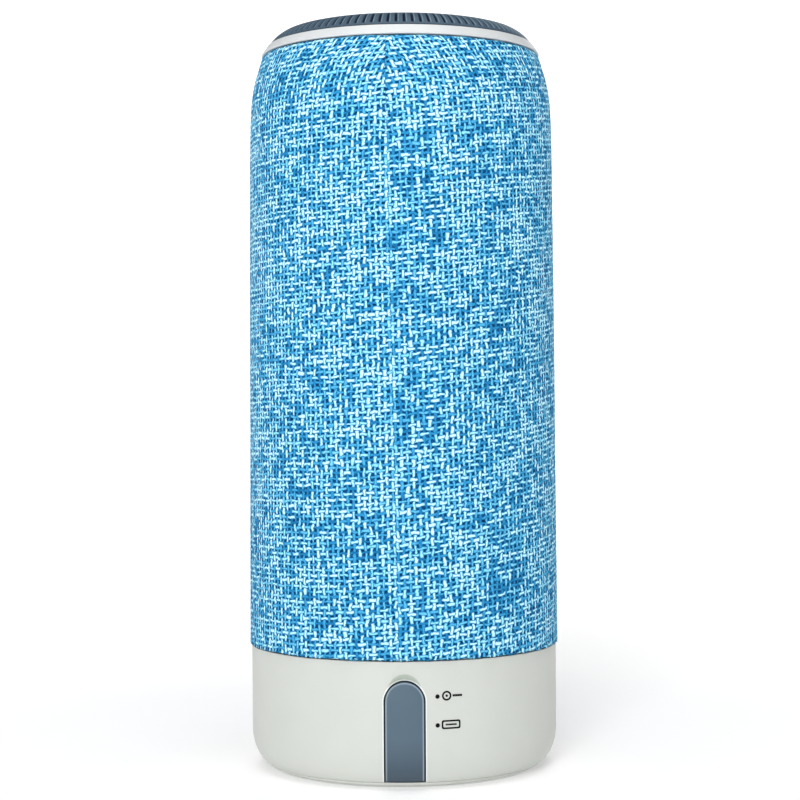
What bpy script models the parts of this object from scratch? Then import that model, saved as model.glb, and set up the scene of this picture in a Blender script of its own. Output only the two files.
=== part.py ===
"""Portable cylindrical loudspeaker with a woven sleeve, a ribbed volume ring and a rubber port flap.

Sizes are in millimetres; the helpers turn them into Blender's metres.
+Z is up, the origin is the centre of the foot's underside, and the port flap faces -Y.
Assembly order, from the bottom: base, acoustic chassis with radiator and driver, sleeve, control top.
"""

import math

import bmesh
import bpy
from mathutils import Matrix, Vector

MM = 0.001
GAP = 0.3  # clearance between two pieces that touch or run on each other

# ---------------------------------------------------------------- driving dimensions
BODY_RADIUS = 38.0  # base shell, outside
BASE_TOP = 30.2  # seam between base shell and sleeve
SLEEVE_TOP = 175.4  # seam between sleeve and top ring
CROWN_BOTTOM = 178.8  # underside of the volume ring
OVERALL_HEIGHT = 182.4

WALL = 2.0
SLEEVE_THICK = 0.8
TUBE_THICK = 1.6
CORNER_RISE = 8.9  # height of the base shell's rounded lower edge
CORNER_RUN = 5.5
LIP_TOP = 1.3  # visible rim of the base plate, under the shell

FLAP_WIDTH = 9.4
FLAP_TOP = 25.4
FLAP_THICK = 1.8
FLAP_PIVOT = (-34.9, 2.9)  # y and z of the flap's hinge bead
BEAD_RADIUS = 1.15
POCKET_FLOOR = -35.9  # y of the recess floor behind the flap
JACK_Z = 20.4
USB_Z = 13.4

RADIATOR_Z = 44.0  # underside of the chassis, where the passive radiator hangs
DRIVER_Z = 141.0  # top of the chassis, where the driver sits
CHASSIS_RADIUS = 33.2
FLANGE_Z = 168.0  # inner flange of the grille tube, which carries the top chassis

MODULE = 1.05  # tooth size of the volume gear and its pinion
GEAR_TEETH = 48
PINION_TEETH = 12
TOOTH_REACH = 0.62  # addendum and dedendum, in modules (stub teeth)
BACKLASH = 0.36
GEAR_Z = (174.9, 177.5)

# Facets round each kind of turned piece
BIG_SIDES = 36
SMALL_SIDES = 18
POST_SIDES = 16
HOLE_SIDES = 8
SCREW_SIDES = 8

# ---------------------------------------------------------------- scene and collections
for leftover in list(bpy.data.objects):
    bpy.data.objects.remove(leftover, do_unlink=True)


def new_collection(name):
    made = bpy.data.collections.new(name)
    bpy.context.scene.collection.children.link(made)
    return made


SPEAKER = new_collection("portable_speaker")
CUTTERS = new_collection("cutters")

# ---------------------------------------------------------------- materials


def material(name, colour, roughness, metallic=0.0):
    made = bpy.data.materials.new(name)
    made.use_nodes = True
    shader = made.node_tree.nodes["Principled BSDF"]
    shader.inputs["Base Color"].default_value = (*colour, 1.0)
    shader.inputs["Roughness"].default_value = roughness
    shader.inputs["Metallic"].default_value = metallic
    made.diffuse_color = (*colour, 1.0)
    return made


PALE_PLASTIC = material("pale_plastic", (0.70, 0.71, 0.68), 0.45)
SLATE_PLASTIC = material("slate_plastic", (0.12, 0.18, 0.24), 0.5)
SLATE_RUBBER = material("slate_rubber", (0.13, 0.19, 0.25), 0.65)
BLUE_WEAVE = material("blue_weave", (0.06, 0.36, 0.66), 0.9)
DARK_PLASTIC = material("dark_plastic", (0.03, 0.03, 0.035), 0.55)
DARK_RUBBER = material("dark_rubber", (0.02, 0.02, 0.02), 0.8)
STEEL = material("steel", (0.55, 0.55, 0.57), 0.35, 1.0)
FERRITE = material("ferrite", (0.05, 0.05, 0.055), 0.7)
PAPER_CONE = material("paper_cone", (0.04, 0.04, 0.045), 0.9)
CLOTH_BROWN = material("varnished_cloth", (0.45, 0.24, 0.08), 0.8)
COPPER = material("copper", (0.72, 0.36, 0.20), 0.35, 1.0)
BOARD_GREEN = material("board_green", (0.02, 0.16, 0.06), 0.5)
CHIP_BLACK = material("chip_black", (0.015, 0.015, 0.018), 0.5)
CELL_WRAP = material("cell_wrap", (0.05, 0.18, 0.40), 0.4)
LENS = material("lens", (0.85, 0.90, 0.92), 0.2)
CABLE_JACKET = material("cable_jacket", (0.08, 0.08, 0.09), 0.6)

# ---------------------------------------------------------------- shape helpers


def add_object(name, data, look, helper=False):
    obj = bpy.data.objects.new(name, data)
    (CUTTERS if helper else SPEAKER).objects.link(obj)
    if helper:
        obj.hide_render = True
        obj.display_type = "WIRE"
    else:
        obj.data.materials.append(look)
    return obj


def turned(name, profile, look=None, sides=BIG_SIDES, helper=False):
    """A solid of revolution about Z. The (radius, z) points run clockwise, in a loop or from axis to axis."""
    on_axis = profile[0][0] == 0 and profile[-1][0] == 0
    mesh = bpy.data.meshes.new(name)
    points = [(r * MM, 0.0, z * MM) for r, z in profile]
    edges = [(i, i + 1) for i in range(len(points) - 1)]
    if not on_axis:
        edges.append((len(points) - 1, 0))
    mesh.from_pydata(points, edges, [])
    obj = add_object(name, mesh, look, helper)
    screw = obj.modifiers.new("turn", "SCREW")
    screw.axis = "Z"
    screw.angle = math.tau
    screw.steps = sides
    screw.render_steps = sides
    screw.use_merge_vertices = True
    screw.merge_threshold = 1e-5
    screw.use_smooth_shade = True
    return obj


def cylinder(name, radius, z_range, centre=(0.0, 0.0), look=None, sides=SMALL_SIDES, helper=False):
    """An upright cylinder between two heights."""
    mesh = bpy.data.meshes.new(name)
    shape = bmesh.new()
    low, high = z_range
    bmesh.ops.create_cone(
        shape,
        cap_ends=True,
        segments=sides,
        radius1=radius * MM,
        radius2=radius * MM,
        depth=(high - low) * MM,
    )
    bmesh.ops.translate(shape, vec=(0, 0, (low + high) / 2 * MM), verts=shape.verts)
    shape.to_mesh(mesh)
    shape.free()
    obj = add_object(name, mesh, look, helper)
    obj.location = (centre[0] * MM, centre[1] * MM, 0)
    return obj


def rod_y(name, radius, y_range, x, z, look=None, sides=SMALL_SIDES, helper=False):
    """A cylinder that lies along Y."""
    low, high = y_range
    obj = cylinder(name, radius, (-(high - low) / 2, (high - low) / 2), (0, 0), look, sides, helper)
    obj.rotation_euler = (math.radians(90), 0, 0)
    obj.location = (x * MM, (low + high) / 2 * MM, z * MM)
    return obj


def box(name, low, high, look=None, round_edges=0.0, helper=False):
    """A box between two corners, with its edges rounded if asked."""
    mesh = bpy.data.meshes.new(name)
    shape = bmesh.new()
    bmesh.ops.create_cube(shape, size=1.0)
    size = Vector(high) - Vector(low)
    bmesh.ops.scale(shape, vec=size * MM, verts=shape.verts)
    shape.to_mesh(mesh)
    shape.free()
    obj = add_object(name, mesh, look, helper)
    obj.location = (Vector(low) + Vector(high)) / 2 * MM
    if round_edges:
        bevel = obj.modifiers.new("round", "BEVEL")
        bevel.width = round_edges * MM
        bevel.segments = 2
    return obj


def flat_outline(name, outlines, thickness, look=None, helper=False):
    """A plate in the XY plane, centred on it: closed (x, y) outlines, of which inner ones are holes."""
    curve = bpy.data.curves.new(name, "CURVE")
    curve.dimensions = "2D"
    curve.fill_mode = "BOTH"
    curve.extrude = thickness / 2 * MM
    for outline in outlines:
        spline = curve.splines.new("POLY")
        spline.points.add(len(outline) - 1)
        for point, (x, y) in zip(spline.points, outline):
            point.co = (x * MM, y * MM, 0, 1)
        spline.use_cyclic_u = True
    drawn = bpy.data.objects.new(name + "_curve", curve)
    bpy.context.scene.collection.objects.link(drawn)
    bpy.context.view_layer.update()
    graph = bpy.context.evaluated_depsgraph_get()
    mesh = bpy.data.meshes.new_from_object(drawn.evaluated_get(graph))
    bpy.data.objects.remove(drawn, do_unlink=True)
    shape = bmesh.new()
    shape.from_mesh(mesh)
    bmesh.ops.remove_doubles(shape, verts=shape.verts, dist=1e-6)
    bmesh.ops.recalc_face_normals(shape, faces=shape.faces)
    shape.to_mesh(mesh)
    shape.free()
    mesh.name = name
    return add_object(name, mesh, look, helper)


def upright(plate, across, place):
    """Stands a plate drawn in XY on its edge: its Y becomes Z. across is the axis through its thickness."""
    if across == "Y":
        plate.rotation_euler = (math.radians(90), 0, 0)
        plate.location = (0, place * MM, 0)
    else:
        plate.rotation_euler = (math.radians(90), 0, math.radians(90))
        plate.location = (place * MM, 0, 0)
    return plate


def swing(obj, degrees):
    """Swings an object, with its place, about the Z axis."""
    obj.matrix_basis = Matrix.Rotation(math.radians(degrees), 4, "Z") @ obj.matrix_basis
    return obj


def tube(name, route, radius, look):
    """A cable along a smooth curve through the route's points."""
    curve = bpy.data.curves.new(name, "CURVE")
    curve.dimensions = "3D"
    curve.bevel_depth = radius * MM
    curve.bevel_resolution = 2
    curve.use_fill_caps = True
    smooth = smooth_path(route)
    spline = curve.splines.new("POLY")
    spline.points.add(len(smooth) - 1)
    for point, place in zip(spline.points, smooth):
        point.co = (*(Vector(place) * MM), 1)
    return add_object(name, curve, look)


def smooth_path(route, steps=2):
    """Points on a Catmull-Rom curve through the route's points."""
    ends = [route[0], *route, route[-1]]
    found = []
    for a, b, c, d in zip(ends, ends[1:], ends[2:], ends[3:]):
        a, b, c, d = Vector(a), Vector(b), Vector(c), Vector(d)
        for step in range(steps):
            t = step / steps
            square = 2 * a - 5 * b + 4 * c - d
            cube = 3 * b - a - 3 * c + d
            found.append(0.5 * (2 * b + (c - a) * t + square * t**2 + cube * t**3))
    return [*found, Vector(route[-1])]


def combine(target, tool, operation="DIFFERENCE"):
    """Adds a Boolean with a helper object."""
    modifier = target.modifiers.new(tool.name, "BOOLEAN")
    modifier.operation = operation
    modifier.solver = "EXACT"
    modifier.object = tool


def drill(target, name, radius, z_range, centre=(0.0, 0.0), sides=HOLE_SIDES):
    """Cuts an upright round hole."""
    combine(target, cylinder(name, radius, z_range, centre, sides=sides, helper=True))


def add_post(target, name, radius, z_range, centre, sides=POST_SIDES):
    """Joins on an upright round post."""
    combine(target, cylinder(name, radius, z_range, centre, sides=sides, helper=True), "UNION")


def through(z_range, reach=5.0):
    """The height of a cutter that passes right through a wall between two heights."""
    return (z_range[0] - reach, z_range[1] + reach)


def round_edge(start, end, centre, steps=4):
    """Points on an ellipse's quarter about centre, from start to end, both (r, z) and both on its axes."""
    run = max(abs(start[0] - centre[0]), abs(end[0] - centre[0]))
    rise = max(abs(start[1] - centre[1]), abs(end[1] - centre[1]))
    first = math.atan2((start[1] - centre[1]) / rise, (start[0] - centre[0]) / run)
    last = math.atan2((end[1] - centre[1]) / rise, (end[0] - centre[0]) / run)
    return [
        (
            centre[0] + run * math.cos(first + (last - first) * i / steps),
            centre[1] + rise * math.sin(first + (last - first) * i / steps),
        )
        for i in range(steps + 1)
    ]


def polar(radius, degrees):
    return (radius * math.cos(math.radians(degrees)), radius * math.sin(math.radians(degrees)))


def screw_piece(name, centre, head_z, length, head_radius=2.2, shank_radius=1.0, upward=True):
    """A pan-head screw. Its head starts at head_z and its shank goes up, or down if upward is False."""
    head = 0.9
    way = 1 if upward else -1
    profile = [
        (0, head_z + way * length),
        (shank_radius * 0.4, head_z + way * length),
        (shank_radius, head_z + way * (length - 1.0)),
        (shank_radius, head_z + way * head),
        (head_radius, head_z + way * head),
        (head_radius * 0.85, head_z),
        (0, head_z),
    ]
    piece = turned(name, profile if upward else profile[::-1], STEEL, SCREW_SIDES)
    piece.location = (centre[0] * MM, centre[1] * MM, 0)
    return piece


# ---------------------------------------------------------------- shared profiles


def corner_radius(z):
    """Outer radius of the base shell at a height within its rounded lower edge."""
    drop = min(1.0, max(0.0, (LIP_TOP + GAP + CORNER_RISE - 1.0 - z) / CORNER_RISE))
    return BODY_RADIUS - CORNER_RUN * (1 - math.sqrt(1 - drop * drop))


SHELL_BOTTOM = LIP_TOP + GAP
CORNER_HEIGHTS = (SHELL_BOTTOM, 2.4, 3.4, 4.8, 6.6, 9.2)

# Sleeve outline, top to bottom: a shoulder that closes in on the top ring, and sides that widen slightly.
SLEEVE_OUTER = [
    (34.7, SLEEVE_TOP),
    (35.5, 172.9),
    (36.6, 169.0),
    (37.4, 164.5),
    (37.75, 157.0),
    (38.2, 90.0),
    (38.45, 33.0),
    (38.3, BASE_TOP + GAP),
]


def sleeve_radius(z):
    """Outer radius of the sleeve at a height."""
    for (r1, z1), (r2, z2) in zip(SLEEVE_OUTER, SLEEVE_OUTER[1:]):
        if z1 >= z >= z2:
            return r2 + (r1 - r2) * (z - z2) / (z1 - z2)
    return SLEEVE_OUTER[0][0] if z > SLEEVE_TOP else SLEEVE_OUTER[-1][0]


# ---------------------------------------------------------------- base

BOARD_Z = (24.0, 25.2)
BOARD_RADIUS = 26.8
DECK_Z = (27.2, 29.2)
DECK_OPENING = 5.0  # radius of the hole in the middle of the deck
COLLAR = (33.4, 34.9)  # collar on the base that centres the grille tube: inner and outer radius
COLLAR_TOP = 34.5
PILOT_RADIUS = 1.4
BOSS_RADIUS = 29.3
BOSS_ANGLES = (45, 135, 225, 315)
BOSS_Z = (4.3, 16.0)
RIB_Z = (7.0, 16.0)
LEG_RADIUS = 30.0
LEG_ANGLES = (90, 210, 330)
KEY_CABLE_RADIUS = 34.15  # where the key cable climbs outside the chassis, at +X
LEAD_ANGLE = 150
LEAD_RADIUS = 28.6
GRIP_RADIUS = 28.6  # circle of the driver's three screws

BLOCK_WIDTH = 15.0  # thickened wall behind the port recess
JACK_OPENING = 2.9
USB_OPENING = (8.2, 3.4)
SCOOP_RADIUS = 8.0
SCOOP_PLACE = (-BODY_RADIUS - 6.75, FLAP_TOP - 2.9)


def base_shell():
    """Outer cup of the base, closed by a deck at the top and open below."""
    wall = BODY_RADIUS - WALL
    outer = [(corner_radius(z), z) for z in reversed(CORNER_HEIGHTS)]
    profile = [
        (BODY_RADIUS - 0.4, BASE_TOP),
        (BODY_RADIUS, BASE_TOP - 0.4),
        *outer,
        (corner_radius(SHELL_BOTTOM) - WALL, SHELL_BOTTOM),
        (wall - 0.8, 6.0),
        (wall, 10.0),
        (wall, DECK_Z[0]),
        (DECK_OPENING, DECK_Z[0]),
        (DECK_OPENING, DECK_Z[1]),
        (COLLAR[0], DECK_Z[1]),
        (COLLAR[0], COLLAR_TOP),
        (COLLAR[1], COLLAR_TOP),
        (COLLAR[1], BASE_TOP),
    ]
    shell = turned("base_shell", profile, PALE_PLASTIC)

    # Thick block behind the port pocket, its outer side buried in the wall
    block = [
        (-36.8, 27.5),
        (-36.8, 10.0),
        (-36.1, 6.0),
        (-34.1, 2.1),
        (-32.6, 2.1),
        (-32.6, 3.9),
        (-31.4, 3.9),
        (-31.4, 27.5),
    ]
    combine(shell, upright(flat_outline("port_block", [block], BLOCK_WIDTH, helper=True), "X", 0), "UNION")

    for number, angle in enumerate(BOSS_ANGLES, 1):
        centre = polar(BOSS_RADIUS, angle)
        add_post(shell, f"boss_{number}", 3.0, BOSS_Z, centre)
        low = (BOSS_RADIUS + GAP, -1.0, RIB_Z[0])
        high = (wall + 0.8, 1.0, RIB_Z[1])
        combine(shell, swing(box(f"boss_rib_{number}", low, high, helper=True), angle), "UNION")
        drill(shell, f"boss_hole_{number}", PILOT_RADIUS, (0.0, BOSS_Z[1] - 1.5), centre)

    for number, angle in enumerate(LEG_ANGLES, 1):
        drill(shell, f"deck_hole_{number}", PILOT_RADIUS, through(DECK_Z), polar(LEG_RADIUS, angle))
    drill(shell, "deck_cable_hole", PILOT_RADIUS, (20.0, 50.0), (KEY_CABLE_RADIUS, 0))
    drill(shell, "deck_lead_hole", 1.9, through(DECK_Z, 2.8), polar(LEAD_RADIUS, LEAD_ANGLE))
    cut_port_pocket(shell)


def arch(half_width, low, top, steps=8):
    """An outline with a straight foot and a half-round top."""
    spring = top - half_width
    arc = [
        (half_width * math.cos(math.pi * i / steps), spring + half_width * math.sin(math.pi * i / steps))
        for i in range(steps + 1)
    ]
    return [(half_width, low), *arc, (-half_width, low)]


def cut_port_pocket(shell):
    """The recess for the flap, its hinge slot, the two socket openings and the fingernail scoop."""
    half = FLAP_WIDTH / 2 + GAP
    pocket = flat_outline("pocket", [arch(half, 7.0, FLAP_TOP + GAP)], 12.0, helper=True)
    combine(shell, upright(pocket, "Y", POCKET_FLOOR - 6.0))
    floor = FLAP_PIVOT[0] + BEAD_RADIUS + 0.4
    slot = [(-45, 7.4), (POCKET_FLOOR, 7.4), (floor, 4.6), (floor, -2.0), (-45, -2.0)]
    combine(shell, upright(flat_outline("hinge_slot", [slot], 2 * half, helper=True), "X", 0))
    combine(shell, rod_y("jack_opening", JACK_OPENING, (-40, -28), 0, JACK_Z, helper=True))
    width, height = USB_OPENING
    low = (-width / 2, -40, USB_Z - height / 2)
    high = (width / 2, -28, USB_Z + height / 2)
    combine(shell, box("usb_opening", low, high, helper=True))

    mesh = bpy.data.meshes.new("nail_scoop")
    shape = bmesh.new()
    bmesh.ops.create_uvsphere(shape, u_segments=24, v_segments=16, radius=SCOOP_RADIUS * MM)
    shape.to_mesh(mesh)
    shape.free()
    scoop = add_object("nail_scoop", mesh, None, helper=True)
    scoop.location = (0, SCOOP_PLACE[0] * MM, SCOOP_PLACE[1] * MM)
    combine(shell, scoop)


PLATE_TOP = 3.6
PLATE_FACE = 0.4  # underside of the base plate, above the table
FOOT_RADII = (27.7, 30.9)
FOOT_TOP = 0.9


def base_plate():
    """Screwed bottom cover, with a visible rim and a groove for the rubber foot."""
    groove = (FOOT_RADII[0] - GAP, FOOT_RADII[1] + GAP)
    plate = turned(
        "base_plate",
        [
            (0, PLATE_TOP),
            (32.3, PLATE_TOP),
            (32.3, LIP_TOP),
            (34.3, LIP_TOP),
            (34.25, 0.9),
            (33.3, PLATE_FACE),
            (groove[1], PLATE_FACE),
            (groove[1], FOOT_TOP + GAP),
            (groove[0], FOOT_TOP + GAP),
            (groove[0], PLATE_FACE),
            (0, PLATE_FACE),
        ],
        PALE_PLASTIC,
    )
    for number, angle in enumerate(BOSS_ANGLES, 1):
        centre = polar(BOSS_RADIUS, angle)
        drill(plate, f"plate_bore_{number}", 2.1, (0, 2.6), centre, POST_SIDES)
        drill(plate, f"plate_hole_{number}", PILOT_RADIUS, (2, 6), centre)


def base_screws():
    for number, angle in enumerate(BOSS_ANGLES, 1):
        screw_piece(f"base_screw_{number}", polar(BOSS_RADIUS, angle), 1.4, 10.0, head_radius=1.7)


def foot_ring():
    inner, outer = FOOT_RADII
    edge = 0.3
    turned(
        "foot_ring",
        [
            (outer, FOOT_TOP),
            (outer, edge),
            (outer - edge, 0.0),
            (inner + edge, 0.0),
            (inner, edge),
            (inner, FOOT_TOP),
        ],
        DARK_RUBBER,
    )


def port_flap():
    """Rubber flap: the base shell's own outer surface, cut to the arch and hung on a bead at its foot."""
    shell_heights = (1.2, 2.0, 2.9, 4.0, 5.6, 7.6, 10.4)
    face = [(corner_radius(z), z) for z in reversed(shell_heights)]
    surface = turned(
        "flap_surface",
        [(0, 30), (BODY_RADIUS, 30), *face, (0, shell_heights[0])],
        sides=2 * BIG_SIDES,
        helper=True,
    )
    back = POCKET_FLOOR - GAP
    y, z = FLAP_PIVOT
    bead = [
        (y + BEAD_RADIUS * math.cos(turn), z + BEAD_RADIUS * math.sin(turn))
        for turn in (math.radians(degrees) for degrees in range(-60, 61, 30))
    ]
    section = [(-40, FLAP_TOP + 1), (-40, z - BEAD_RADIUS), *bead, (back, 7.2), (back, FLAP_TOP + 1)]
    flap = flat_outline("port_flap", [arch(FLAP_WIDTH / 2, 1.0, FLAP_TOP)], 10.0, SLATE_RUBBER)
    upright(flap, "Y", -36.5)
    combine(flap, upright(flat_outline("flap_section", [section], 14.0, helper=True), "X", 0), "INTERSECT")
    combine(flap, surface, "INTERSECT")

    plug_y = (back - 0.6, POCKET_FLOOR + 0.9)
    combine(flap, rod_y("jack_plug", 2.4, plug_y, 0, JACK_Z, sides=POST_SIDES, helper=True), "UNION")
    low, high = (-3.6, plug_y[0], USB_Z - 1.2), (3.6, plug_y[1], USB_Z + 1.2)
    combine(flap, box("usb_plug", low, high, helper=True), "UNION")

    # The flap hangs from an empty on its hinge axis
    pivot = bpy.data.objects.new("flap_hinge", None)
    SPEAKER.objects.link(pivot)
    pivot.location = (0, y * MM, z * MM)
    flap.parent = pivot
    flap.matrix_parent_inverse = pivot.matrix_basis.inverted()


def port_board_group():
    """Upright board with the audio jack and the charging socket."""
    box("io_board", (-7.0, -25.3, 7.0), (7.0, -24.1, 23.4), BOARD_GREEN)
    jack = box("aux_jack", (-3.2, -31.0, JACK_Z - 3.1), (3.2, -25.6, JACK_Z + 3.1), DARK_PLASTIC)
    combine(jack, rod_y("jack_nose", 2.5, (-34.6, -30.0), 0, JACK_Z, sides=POST_SIDES, helper=True), "UNION")
    combine(jack, rod_y("jack_bore", 1.8, (-36.0, -27.0), 0, JACK_Z, sides=POST_SIDES, helper=True))
    shell = box("usb_shell", (-3.75, -34.6, USB_Z - 1.35), (3.75, -25.6, USB_Z + 1.35), STEEL)
    combine(shell, box("usb_mouth", (-3.35, -36.0, USB_Z - 0.95), (3.35, -27.5, USB_Z + 0.95), helper=True))
    box("usb_tongue", (-2.4, -34.0, USB_Z - 0.15), (2.4, -27.8, USB_Z + 0.45), DARK_PLASTIC)


def battery_group():
    """One 18650 cell lying across the base in a trough on the base plate."""
    cell_z, cell_radius = 14.0, 9.2
    cradle = box("battery_cradle", (-28, -10.6, 3.9), (28, 10.6, 10.5), DARK_PLASTIC)
    trough = cylinder("cell_trough", cell_radius + GAP, (-40, 40), helper=True)
    trough.rotation_euler = (0, math.radians(90), 0)
    trough.location = (0, 0, cell_z * MM)
    combine(cradle, trough)
    cell = turned(
        "battery_cell",
        [(0, 33.2), (2.8, 33.2), (2.8, 32.3), (cell_radius - 0.6, 32.3), (cell_radius, 31.7)]
        + [(cell_radius, -31.9), (cell_radius - 0.4, -32.3), (0, -32.3)],
        CELL_WRAP,
        SMALL_SIDES,
    )
    cell.rotation_euler = (0, math.radians(90), 0)
    cell.location = (0, 0, cell_z * MM)


def main_board_group():
    """Round board under the deck, with its parts on the underside beside the cell."""
    cylinder("main_board", BOARD_RADIUS, BOARD_Z, look=BOARD_GREEN, sides=BIG_SIDES)
    top = BOARD_Z[0] - GAP
    box("bluetooth_module", (-13.0, 11.2, top - 2.2), (3.0, 21.2, top), STEEL, round_edges=0.3)
    box("amplifier_chip", (6.0, 11.6, top - 1.6), (15.0, 20.6, top), CHIP_BLACK)
    cylinder("power_inductor", 3.4, (top - 4.2, top), (19.5, -12.5), look=FERRITE, sides=POST_SIDES)
    capacitor = turned(
        "filter_capacitor",
        [(0, top), (3.0, top), (3.1, top - 8.4), (2.7, top - 8.8), (0, top - 8.8)],
        CELL_WRAP,
        POST_SIDES,
    )
    capacitor.location = (-18.5 * MM, -13.5 * MM, 0)
    box("battery_connector", (-22.5, 11.4, top - 4.8), (-15.5, 16.4, top), LENS, round_edges=0.3)


# ---------------------------------------------------------------- acoustic chassis


SOUND_MOUTH = 24.2  # radius of the openings at the chamber's two ends


def chassis():
    """Sealed chamber: passive radiator below, driver above, standing on three legs."""
    bore = CHASSIS_RADIUS - WALL
    body = turned(
        "acoustic_chamber",
        [
            (CHASSIS_RADIUS, DRIVER_Z),
            (CHASSIS_RADIUS, RADIATOR_Z),
            (SOUND_MOUTH, RADIATOR_Z),
            (SOUND_MOUTH, RADIATOR_Z + WALL),
            (bore, RADIATOR_Z + WALL + 1.5),
            (bore, DRIVER_Z - WALL - 2.0),
            (SOUND_MOUTH + 0.4, DRIVER_Z - WALL),
            (SOUND_MOUTH + 0.4, DRIVER_Z),
        ],
        DARK_PLASTIC,
    )
    leg_z = (DECK_Z[1] + GAP, RADIATOR_Z + 1.0)
    rim_z = (DRIVER_Z - WALL, DRIVER_Z)
    for number, angle in enumerate(LEG_ANGLES, 1):
        foot, grip = polar(LEG_RADIUS, angle), polar(GRIP_RADIUS, angle)
        add_post(body, f"leg_{number}", 2.6, leg_z, foot)
        drill(body, f"leg_pilot_{number}", 1.3, (20, 40), foot)
        drill(body, f"driver_pilot_{number}", 1.3, through(rim_z, 9.0), grip)
        screw_piece(f"chassis_screw_{number}", foot, 26.0, 11.0, head_radius=2.1, shank_radius=0.9)
        head_top = DRIVER_Z + 2.8
        screw_piece(f"driver_screw_{number}", grip, head_top, 7.5, 1.6, shank_radius=0.8, upward=False)
    drill(body, "lead_grommet", 1.3, (40, 50), polar(LEAD_RADIUS, LEAD_ANGLE))


def half_roll(name, inner, outer, z, height, thickness, look, upward):
    """A rubber half-roll surround between two radii, rising, or hanging if upward is False."""
    middle, half = (inner + outer) / 2, (outer - inner) / 2
    rise = height if upward else -height
    angles = [math.pi * i / 4 for i in range(5)]
    far = [(middle + half * math.cos(a), z + rise * math.sin(a)) for a in angles]
    near = [(r, h - thickness) for r, h in far[1:-1]]
    loop = [*far[::-1], (outer, z - thickness), *near, (inner, z - thickness)]
    turned(name, loop, look, SMALL_SIDES)


def radiator_group():
    """Passive radiator under the chamber: it moves with the air that the driver pushes."""
    low = RADIATOR_Z - GAP
    ring_of("radiator_frame", SOUND_MOUTH + GAP, 27.0, low - 1.6, low, STEEL)
    half_roll("radiator_surround", 18.9, SOUND_MOUTH, low - 0.2, 2.0, 0.6, DARK_RUBBER, upward=False)
    turned(
        "radiator_piston",
        [(0, low), (18.5, low), (18.5, low - 0.8), (17.5, low - 1.6), (0, low - 1.6)],
        DARK_PLASTIC,
        SMALL_SIDES,
    )
    weight = [(0, low + 3.3), (11.6, low + 3.3), (12, low + GAP), (0, low + GAP)]
    turned("radiator_weight", weight, STEEL, SMALL_SIDES)


def driver_group():
    """Full-range driver that fires up at the diffuser."""
    seat = DRIVER_Z + GAP
    basket = turned(
        "driver_basket",
        [
            (30.6, seat + 1.2),
            (30.6, seat),
            (24.0, seat),
            (19.0, seat - 13.6),
            (19.0, seat - 15.0),
            (8.4, seat - 15.0),
            (8.4, seat - 13.8),
            (17.4, seat - 13.8),
            (22.6, seat + 1.2),
        ],
        STEEL,
        SMALL_SIDES,
    )
    for number, angle in enumerate(LEG_ANGLES, 1):
        drill(basket, f"basket_hole_{number}", 1.2, (130, 150), polar(GRIP_RADIUS, angle))
        low, high = (16.5, -5.0, seat - 12.25), (28.5, 5.0, seat - 3.75)
        combine(basket, swing(box(f"basket_window_{number}", low, high, helper=True), angle + 60))
    plate_top = seat - 15.0 - GAP
    ring_of("driver_top_plate", 8.0, 15.5, plate_top - 2.2, plate_top, STEEL)
    magnet_top = plate_top - 2.2 - GAP
    ring_of("driver_magnet", 9.0, 17.0, magnet_top - 7.5, magnet_top, FERRITE)
    yoke_top = magnet_top - 7.5 - GAP
    pole = plate_top - 0.2
    turned(
        "driver_yoke",
        [(0, pole), (6.0, pole), (6.0, yoke_top), (15.5, yoke_top)]
        + [(15.0, yoke_top - 2.6), (0, yoke_top - 2.6)],
        STEEL,
        SMALL_SIDES,
    )
    coil_top = seat - 11.2
    ring_of("voice_coil", 6.5, 7.3, coil_top - 11.0, coil_top, COPPER)
    spider_z = seat - 12.4
    ridges = [(7.7 + i * 1.9, spider_z + (0.5 if i % 2 else 0.0)) for i in range(6)]
    turned("spider", [*ridges, *[(r, z - 0.5) for r, z in reversed(ridges)]], CLOTH_BROWN, SMALL_SIDES)
    turned(
        "driver_cone",
        [
            (19.3, seat + 2.1),
            (19.9, seat + 2.1),
            (19.9, seat + 1.5),
            (13.6, seat - 6.4),
            (7.5, seat - 10.9),
            (6.7, seat - 10.9),
            (7.2, seat - 10.0),
            (13.0, seat - 5.7),
        ],
        PAPER_CONE,
        SMALL_SIDES,
    )
    cap_z = seat - 5.6
    turned(
        "dust_cap",
        [(0, cap_z + 3.4), (4.0, cap_z + 2.9), (7.4, cap_z + 1.2), (9.0, cap_z - 1.0)]
        + [(8.4, cap_z - 1.2), (6.9, cap_z + 0.6), (3.7, cap_z + 2.2), (0, cap_z + 2.7)],
        PAPER_CONE,
        SMALL_SIDES,
    )
    half_roll("driver_surround", 20.2, 25.4, seat + 2.1, 2.0, 0.6, DARK_RUBBER, upward=True)


def ring_of(name, inner, outer, low, high, look):
    turned(name, [(outer, high), (outer, low), (inner, low), (inner, high)], look, SMALL_SIDES)


def diffuser():
    """Cone over the driver that spreads the sound all round."""
    top = FLANGE_Z + WALL
    turned(
        "sound_diffuser",
        [
            (0, top),
            (17.0, top),
            (17.0, top - 1.2),
            (12.0, top - 5.0),
            (7.0, top - 10.5),
            (3.5, top - 16.5),
            (1.5, top - 19.0),
            (0, top - 19.4),
        ],
        DARK_PLASTIC,
        SMALL_SIDES,
    )


# ---------------------------------------------------------------- grille tube and sleeve

WINDOW_ROWS = ((36.0, 43.5), (143.5, 162.0))
WINDOW_COLUMNS = 8
CABLE_HOLE = (27.2, 0)  # where the key cable passes the flange and the top chassis


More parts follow.
